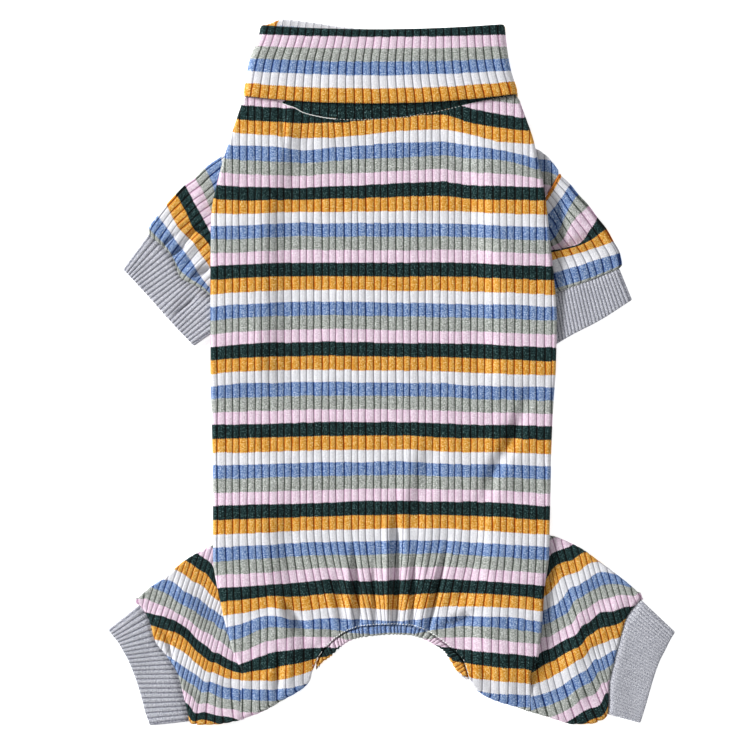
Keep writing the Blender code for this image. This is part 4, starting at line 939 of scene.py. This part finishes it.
def makeCuff(name, ribs, settings, node):
    corner, run = linesAcross(ribs)
    ribTotal = round(run[-1] / settings["ribPitch"])
    across = np.linspace(0, 1, ribTotal * cuffCloth["ribSteps"] + 1)
    ends = smooth(run / run[-1], corner)(across)
    reach = np.mean(np.linalg.norm(corner[:, 1] - corner[:, 0], axis=1))
    radius = cuffCloth["turnRadius"]
    # from under the seam out to the opening, round its folded edge and back inside
    angle = np.radians([0, 30, 60, 90, 120, 150, 180])
    turnStart = 1 - radius / reach
    outer = np.linspace(-cuffCloth["under"] / reach, turnStart, settings["rows"])[:-1]
    edge = turnStart + radius / reach * np.sin(angle)
    inner = np.linspace(turnStart, cuffCloth["innerEnd"], cuffCloth["innerRows"])[1:]
    w = np.concatenate([outer, edge, inner])
    depth = np.concatenate([outer * 0, radius * (1 - np.cos(angle)), inner * 0 + 2 * radius])
    turned, back = reach - radius + radius * angle, reach + cuffCloth["turnLength"] + (1 - inner) * reach
    distance = np.concatenate([outer * reach, turned, back])
    flat = ends[None, :, 0] + w[:, None, None] * (ends[:, 1] - ends[:, 0])[None]
    uneven = (flat[..., 0] % 23 - 11) / 9
    atSeam = np.exp(-((w * reach / cuffCloth["seamReach"]) ** 2))[:, None]
    crestTop = cuffCloth["height"] + 0.4 * np.exp(-(uneven**2))
    crestTop = crestTop - cuffCloth["seamDip"] * atSeam + creaseHeight(flat[..., 0], flat[..., 1])
    crestTop = np.where(w[:, None] < 0, np.minimum(crestTop, cuffCloth["underTop"]), crestTop)
    points, outward, around = pressedTube(flat, crestTop + 0.35, cuffCloth["fold"])
    u = ribCount(around, ribTotal, cuffCloth["turnRibs"])
    crest = ribCrest(u, 0.17)
    flatter = np.where(depth > 1, 0.3, 1)[:, None]  # the ribs of the inner layer are pressed
    sunk = depth[:, None] + settings["relief"] * (1 - crest)[None, :] * flatter
    points = points - outward * sunk[..., None]
    knit = np.dstack(np.broadcast_arrays(u[None, :], (distance / cloth["stripe"])[:, None]))
    cuff = knitPiece(name, points, knit, settings["material"], [node], cuffCloth["wall"])


for name, ribs, settings in (
        ("left_sleeve_cuff", leftSleeveCuffRibs, {
            "material": greyRib, "ribPitch": 2.7, "relief": 0.45, "rows": 16, "flat": (0.134, 0.04)}),
        ("right_sleeve_cuff", rightSleeveCuffRibs, {
            "material": greyRib, "ribPitch": 2.2, "relief": 0.28, "rows": 18, "flat": (0.116, 0.04)}),
        ("left_leg_cuff", leftLegCuffRibs, {
            "material": greyRib, "ribPitch": 2.9, "relief": 0.4, "rows": 16, "flat": (0.134, 0.036)}),
        ("right_leg_cuff", rightLegCuffRibs, {
            "material": brushedRib, "ribPitch": 1.9, "relief": 0.09, "rows": 16, "flat": (0.126, 0.036)})):
    makeCuff(name + "_rib", ribs, settings, name)
print("cuffs done")

# rump hem: a on its open edge, b on the stitch line, gathered over elastic

tailHemLines = table(
    "ax ay bx by",
    (-41.5, -169.8, -43.3, -168.5), (-39.6, -165.4, -41, -162.9), (-34.6, -161.8, -37.2, -157),
    (-30.1, -157.4, -31.7, -151.7), (-22.1, -152.2, -23.4, -146.9), (-14.5, -150.6, -15, -144.9),
    (-0.5, -149.3, -0.9, -144.1), (10, -149.5, 10.4, -144.7), (16.5, -151.4, 18.8, -147.2),
    (23.3, -154.6, 27.1, -151.9), (29.4, -158.3, 33.8, -157.3), (33.3, -164.2, 38.9, -162),
    (37.3, -170.5, 41.8, -167.5), (40.8, -175, 44.2, -174.6),
)
hem = {
    "height": 3.6, "puff": 0.5, "fold": 1.4, "gathers": 44, "steps": 7, "across": 15, "ruck": 0.55,
    "under": 0.5, "underDip": 1.7, "underReach": (0.93, 1.2), "endDip": 1.3, "endReach": 1.5,
}


def makeHem():
    corner, run = linesAcross(tailHemLines)
    rows = np.linspace(0, 1, hem["gathers"] * hem["steps"] + 1)
    ends = smooth(run / run[-1], corner)(rows)
    w = np.linspace(0, 1 + hem["under"], hem["across"])
    flat = planBetween(ends, w)
    level = hem["height"] + hem["puff"] - hem["underDip"] * ease(*hem["underReach"], w)
    points, outward, around = pressedTube(flat, level, hem["fold"])
    # gathers of uneven spacing and depth
    uneven = rows * hem["gathers"] + 0.22 * np.sin(rows * 61) + 0.16 * np.sin(rows * 23 + 1)
    depth = hem["ruck"] * (1 + 0.35 * np.sin(rows * 37 + 2))
    sunk = depth * (1 - ribCrest(uneven, 0.2))
    ended = np.minimum(rows, 1 - rows) * run[-1]
    sunk = sunk + hem["endDip"] * np.exp(-((ended / hem["endReach"]) ** 2))
    points = points - outward * sunk[:, None, None]
    x, y = points[..., 0], points[..., 1]
    knit = np.dstack(np.broadcast_arrays(uneven[:, None], bodyStripe(x, y) + (around[None, :] > 1.5) * 0.2))
    piece = knitPiece("rump_hem", points, knit, stripedKnit, ["tail_hem"])


makeHem()
print("rump hem done")

# collar: one band, doubled over at the crown, swept round the flattened neck

collar = {
    "height": 8.6, "crownRadius": 1.65, "ribs": 30, "sideRibs": 2, "sideSteps": 10, "wall": 1.2,
    "flapRows": 40, "crownRows": 8, "standRows": 34, "neckRows": 6, "neckHalf": 2.05, "neckInset": 1.8,
    "spare": 0.05, "flapLength": 40, "rollReach": 1.6, "edgeRoll": (0.75, 0.25), "neckGap": 0.6,
    "underFlat": 0.68, "underReach": 2.4, "crownStripe": -5.45, "standStripe": -5.1, "standStripes": 5.2,
}
collarPlan = table(  # drop: share of the way down from the crown
    "drop left right leftY middleY rightY",
    (1, -84.3, 72, 157.3, 153.1, 158.6), (0.51, -80.8, 66.7, 177, 175, 177),
    (0.125, -75.2, 64.7, 192.5, 191, 192.5), (0, -74.3, 64.2, 197.5, 195.2, 198.2),
)
collarBands = table(  # the flap's stripes, going down from the crown
    "drop v",
    (0, -5.3), (0.135, -6), (0.3, -7), (0.475, -8), (0.65, -9), (0.82, -10), (1, -11),
)
frontPeek = {"x": -61.5, "rise": 4.6, "before": 7.5, "after": 32}


def collarLoop():
    steps = collar["ribs"] * cloth["ribSteps"]
    turn = np.linspace(0, math.pi, collar["sideSteps"] + 2)[1:-1]
    s = np.linspace(0, 1, steps + 1)
    zero = np.zeros(steps + 1)
    return {
        "s": np.concatenate([s, turn * 0 + 1, s[::-1], turn * 0, [0]]),
        "bulge": np.concatenate([zero, np.sin(turn), zero, -np.sin(turn), [0]]),
        "rise": np.concatenate([zero + 1, np.cos(turn), zero - 1, -np.cos(turn), [1]]),
        "around": np.concatenate([s, 1 + turn / math.pi, 3 - s[::-1], 3 + turn / math.pi, [4]]),
    }


def collarSection(loop, drop, depth, backOff, crest):
    plan = {name: smooth(collarPlan["drop"], collarPlan[name])(drop) for name in collarPlan}
    inward = depth + cloth["ribHeight"] * (1 - crest)
    half = collar["height"] / 2 - depth
    left, right = plan["left"] + depth + half, plan["right"] - depth - half
    reach = collar["height"] / 2 + 0.45 - inward
    x = left + loop["s"] * (right - left) + loop["bulge"] * reach
    z = np.maximum(collar["height"] / 2 + loop["rise"] * reach, 0)
    along = np.clip((x - plan["left"]) / (plan["right"] - plan["left"]), 0, 1)
    ends = plan["leftY"] + along * (plan["rightY"] - plan["leftY"])
    middle = plan["middleY"] - (plan["leftY"] + plan["rightY"]) / 2
    y = ends + middle * 4 * along * (1 - along) - backOff
    gap = x - frontPeek["x"]
    width = np.where(gap < 0, frontPeek["before"], frontPeek["after"])
    peek = np.exp(-((gap / width) ** 2)) * (loop["rise"] < 0) * ease(0.5, 0.05, drop)
    return np.column_stack([x, y + frontPeek["rise"] * peek, z])


def peekShift(section, front):
    # the front of the band, which stands up behind the crown, has other stripes on its edge
    return front * (0.6 + ease(-66, -63, section[:, 0]))


def makeCollar():
    loop = collarLoop()
    u = ribCount(loop["around"], collar["ribs"], collar["sideRibs"])
    crest = ribCrest(u, 0.11)
    front = (1 - loop["rise"]) / 2
    radius = collar["crownRadius"]
    sections, stripes = [], []

    def add(points, v):
        sections.append(points)
        stripes.append(v)

    for drop in np.linspace(1, 0.04, collar["flapRows"]):
        # the free edge is a soft hem that rolls down a little
        rolled = np.exp(-((1 - drop) * collar["flapLength"] / collar["rollReach"]) ** 2)
        band = smooth(collarBands["drop"], collarBands["v"])(drop)
        down, backOff = np.multiply(collar["edgeRoll"], rolled)
        section = collarSection(loop, drop, down, backOff, crest)
        add(section, band + peekShift(section, front) * ease(0.15, 0.05, drop))
    for angle in np.linspace(0, math.pi, collar["crownRows"] + 2)[1:-1]:
        depth = radius * (1 - math.cos(angle))
        backOff = radius * (1 - math.sin(angle))
        section = collarSection(loop, 0, depth, backOff, crest)
        add(section, collar["crownStripe"] + angle / math.pi * 0.3 + peekShift(section, front))
    for drop in np.linspace(0.04, 0.94, collar["standRows"]):
        section = collarSection(loop, drop, 2 * radius, 0, crest)
        band = collar["standStripe"] + drop * collar["standStripes"]
        add(section, band + peekShift(section, front) * ease(0.4, 0.1, drop))
    last = sections[-1]
    inset, half = collar["neckInset"], collar["neckHalf"]
    left, right = neckSeam["x"][0] + inset + half, neckSeam["x"][-1] - inset - half
    x = left + loop["s"] * (right - left) + loop["bulge"] * half
    lowest = collar["wall"] + collar["spare"]
    level = half + loop["rise"] * (half - collar["wall"] + collar["spare"])
    neckRing = np.column_stack([x, neckY(x) + collar["neckGap"], np.maximum(level, lowest)])
    for share in np.linspace(0, 1, collar["neckRows"] + 1)[1:]:
        leftEnd = ease(-53, -66, neckRing[:, 0])
        add(last + share * (neckRing - last), 0.1 + 0.85 * share - leftEnd * (0.4 + 0.85 * share))
    # the seam allowance, hidden under the back
    under = neckRing * (1, 1, collar["underFlat"]) - (0, collar["underReach"], 0)
    under[:, 2] = np.maximum(under[:, 2], lowest)
    for share in (0.35, 0.7, 1):
        add(neckRing + share * (under - neckRing), stripes[-1] + 0.11)
    points = np.array(sections)
    v = np.array([np.broadcast_to(row, points.shape[1]) for row in stripes])
    return points, np.dstack(np.broadcast_arrays(u[None, :], v))


collarPoints, collarKnit = makeCollar()
collarPiece = knitPiece(
    "roll_collar", collarPoints, collarKnit, stripedKnit, ["collar"], collar["wall"])
print("collar done")

# belly, flat on the surface under everything, and its cloth folded at the right shoulder

bellySides = table(
    "y left right",
    (153, -77, 65.5), (146, -80.5, 69), (131, -86, 74), (112, -88, 77), (96, -88.2, 76.5), (80, -86, 70),
    (62, -83, 63.5), (46, -80.2, 68), (39, -79.6, 72), (33, -88, 77), (26, -97, 80), (8, -97, 87),
    (-17, -96.5, 86), (-62, -95.5, 84.5), (-88, -95.5, 84), (-93.5, -80, 77.5), (-122, -80, 77),
    (-163, -83.5, 76.5), (-198, -87, 76.5),
)
belly = {
    "rows": 84, "columns": 231, "ribHeight": 0.35, "wall": 1, "neckGap": 1.2, "footMargin": 7.8,
    "neckX": (-77, 142.5), "footX": (-80, 154), "length": 330, "edgeRise": 0.5, "edgeReach": 1.2,
}  # neckX and footX: the left end and the width


def makeBelly():
    s = np.linspace(0, 1, belly["columns"])
    neckX, footX = [left + s * width for left, width in (belly["neckX"], belly["footX"])]
    neck, foot = neckY(neckX) - belly["neckGap"], footY(footX) + belly["footMargin"]
    t = np.linspace(0, 1, belly["rows"])[:, None]
    y = neck + t * (foot - neck)
    left = smooth(bellySides["y"], bellySides["left"])(y)
    right = smooth(bellySides["y"], bellySides["right"])(y)
    x = left + s * (right - left)
    u = (x - backPanel["firstRib"]) / cloth["ribPitch"]
    edge = np.minimum(np.minimum(t, 1 - t) * belly["length"], np.minimum(s, 1 - s) * (right - left))
    z = belly["ribHeight"] * (1 - ribCrest(u))
    z = z + belly["edgeRise"] * np.exp(-((edge / belly["edgeReach"]) ** 2))
    return np.dstack([x, y, z]), np.dstack([u, bodyStripe(x, y) + 0.35])


bellyPoints, bellyKnit = makeBelly()
bellyPiece = knitPiece(
    "belly", bellyPoints, bellyKnit, stripedKnit, ["belly_panel"], belly["wall"], up=-1)

chestFlap = table(
    "ax ay bx by",
    (70.3, 128.6, 70.3, 75.7), (76, 129, 76, 84), (80.5, 128.5, 80.5, 90), (84.5, 126.5, 84.5, 96),
    (88.5, 123.6, 88.5, 101.5), (92, 119.5, 92, 107), (95, 115.5, 95, 111.5),
)
chestFold = {
    "height": 3.1, "fold": 1.2, "rows": 43, "across": 26, "wall": 0.9,
    "firstStripe": (84.5, 121.5), "stripe": 7, "slope": 0.05, "bend": -0.03,
}


def makeChestFold():
    corner = linesAcross(chestFlap)[0]
    rows = np.linspace(0, 1, chestFold["rows"])
    ends = smooth(np.linspace(0, 1, len(corner)), corner)(rows)
    w = np.linspace(0, 1, chestFold["across"])
    flat = planBetween(ends, w)
    points, outward, _ = pressedTube(flat, chestFold["height"], chestFold["fold"], turnSteps=5)
    u = (points[..., 0] - backPanel["firstRib"]) / cloth["ribPitch"]
    points = sinkGrooves(points, outward, ribCrest(u, 0.12))
    x, y = points[..., 0], points[..., 1]
    firstX, firstY = chestFold["firstStripe"]
    away = np.maximum(x - firstX, 0)
    v = 3 + (firstY + chestFold["bend"] * away**2 + chestFold["slope"] * away - y) / chestFold["stripe"]
    knit = np.dstack([u, v])
    piece = knitPiece(
        "chest_fold", points, knit, stripedKnit, ["belly_panel"], chestFold["wall"])


makeChestFold()
print("belly done")

# sewing threads


def threadPiece(name, points, radius, material):
    # a fine round thread through the points
    line = bpy.data.curves.new(name + "_line", "CURVE")
    line.dimensions = "3D"
    line.bevel_depth = radius * mm
    line.bevel_resolution = 1
    line.use_fill_caps = True
    spline = line.splines.new("POLY")
    spline.points.add(len(points) - 1)
    for point, place in zip(spline.points, np.asarray(points) * mm):
        point.co = (*place, 1)
    holder = bpy.data.objects.new(name + "_line", line)
    data = bpy.data.meshes.new_from_object(holder)
    bpy.data.objects.remove(holder)
    data.name = name
    data.materials.clear()
    data.materials.append(material)
    data.shade_smooth()
    piece = bpy.data.objects.new(name, data)
    bpy.context.scene.collection.objects.link(piece)
    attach(piece, "root")


def stitchLine(path, level, pitch, swing=0, dip=0):
    # a stitch that swings from side to side and dips into the cloth along a path of x, y points
    path = np.asarray(path, float)
    run = distanceAlong(path)
    steps = np.arange(0, run[-1], pitch / 4)
    place = smooth(run, path)(steps)
    ahead = unit(np.gradient(place, axis=0))
    across = np.stack([-ahead[:, 1], ahead[:, 0]], axis=1)
    phase = steps / pitch * 2 * math.pi
    xy = place + across * (swing * np.sin(phase))[:, None]
    return np.column_stack([xy, level(xy[:, 0], xy[:, 1]) - dip * (1 - np.cos(phase)) / 2])


neckStitches = {  # from x, to x, how far the thread dips into the cloth, its radius
    "neck_overlock": (-62.5, -31.5, 0.15, 0.2),
    "neck_topstitch": (-31, 66, 1.1, 0.14),
}
for name, (fromX, toX, dip, radius) in neckStitches.items():
    seamX = np.linspace(fromX, toX, 40)
    seam = np.column_stack([seamX, neckY(seamX) - 0.25])
    stitches = stitchLine(seam, lambda x, y: backTop(x, y) + 0.38 - 0.3 * dip, 2, swing=0.12, dip=dip)
    threadPiece(name, stitches, radius, whiteThread)

hemLine = linesAcross(tailHemLines)[0][2:-3, 1] + (0, 1.3)
stitches = stitchLine(hemLine, lambda x, y: backTop(x, y) + 0.42, 1.7, swing=0.15, dip=0.75)
threadPiece("hem_zigzag", stitches, 0.2, whiteThread)

thighLines = {
    "left_thigh_stitch": [(-39.5, -158.5), (-42, -162), (-44, -165), (-45.9, -169.4)],
    "right_thigh_stitch": [(36.8, -158), (39.6, -161), (41.9, -165.6), (44.7, -175)],
}
for name, path in thighLines.items():
    stitches = stitchLine(path, lambda x, y: backTop(x, y) + 0.2, 2.4, dip=0.7)
    threadPiece(name, stitches, 0.11, whiteThread)

armhole = {
    "line": [(95.9, 113), (93.5, 108.5), (90.5, 103.5), (87.6, 98.5)],
    "level": 3.6, "edgeDrop": 2.1, "edge": (93.6, 97.4),  # the cloth falls away towards its edge
}
stitches = stitchLine(
    armhole["line"], lambda x, y: armhole["level"] - armhole["edgeDrop"] * ease(*armhole["edge"], x),
    2.2, swing=0.1, dip=0.1)
threadPiece("armhole_stitch", stitches, 0.7, orangeThread)
cuffLine = linesAcross(rightSleeveCuffRibs)[0][:3, 0] + (0, 0.3)
stitches = stitchLine(cuffLine, lambda x, y: x * 0 + 3.55, 2.6, swing=0.15, dip=0.7)
threadPiece("right_cuff_stitch", stitches, 0.13, whiteThread)
print("threads done")

# floor, lights and camera

stageSet = {
    "floorSize": 6, "floorDrop": 0.0002, "floorGlow": 0.65, "keyEnergy": 340, "fillEnergy": 5,
    "worldStrength": 0.34, "cameraHeight": 2.374,
}


def makeFloor():
    mesh = bmesh.new()
    bmesh.ops.create_grid(mesh, x_segments=4, y_segments=4, size=stageSet["floorSize"])
    bmesh.ops.translate(mesh, vec=(0, 0, -stageSet["floorDrop"]), verts=mesh.verts[:])
    data = bpy.data.meshes.new("floor")
    mesh.to_mesh(data)
    mesh.free()
    material, tree, shader, calc = newMaterial("white_paper", 0.85, 0)
    place = addNode(tree, "TexCoord").outputs["Object"]
    grain = addNode(tree, "TexNoise", Vector=place, Scale=60, Detail=3)
    tint = calc("MULTIPLY_ADD", grain.outputs["Fac"], 0.01, 0.955)
    tree.links.new(greyColour(tree, tint), shader.inputs["Base Color"])
    shader.inputs["Emission Color"].default_value = (1, 1, 1, 1)
    shader.inputs["Emission Strength"].default_value = stageSet["floorGlow"]
    data.materials.append(material)
    floor = bpy.data.objects.new("floor", data)
    bpy.context.scene.collection.objects.link(floor)


def addLight(name, place, size, energy, colour=(1, 1, 1)):
    light = bpy.data.lights.new(name, "AREA")
    light.shape, light.size, light.energy, light.color = "DISK", size, energy, colour
    lamp = bpy.data.objects.new(name, light)
    bpy.context.scene.collection.objects.link(lamp)
    lamp.location = place
    direction = -lamp.location
    lamp.rotation_euler = direction.to_track_quat("-Z", "Y").to_euler()


makeFloor()
addLight("key", (-3.85, 1.1, 2.1), 1.1, stageSet["keyEnergy"])
addLight("fill", (1.2, -0.4, 1.3), 1.4, stageSet["fillEnergy"])
world = bpy.data.worlds.new("studio")
world.use_nodes = True
world.node_tree.nodes["Background"].inputs["Color"].default_value = (1, 1, 1, 1)
world.node_tree.nodes["Background"].inputs["Strength"].default_value = stageSet["worldStrength"]
bpy.context.scene.world = world
bpy.context.scene.view_settings.view_transform = "Standard"

lens = bpy.data.cameras.new("camera")
lens.lens, lens.sensor_width, lens.clip_end = 200, 36, 20
camera = bpy.data.objects.new("camera", lens)
camera.location = (-9.4 * mm, -1.3 * mm, stageSet["cameraHeight"])
bpy.context.scene.collection.objects.link(camera)
bpy.context.scene.camera = camera

bpy.context.view_layer.update()
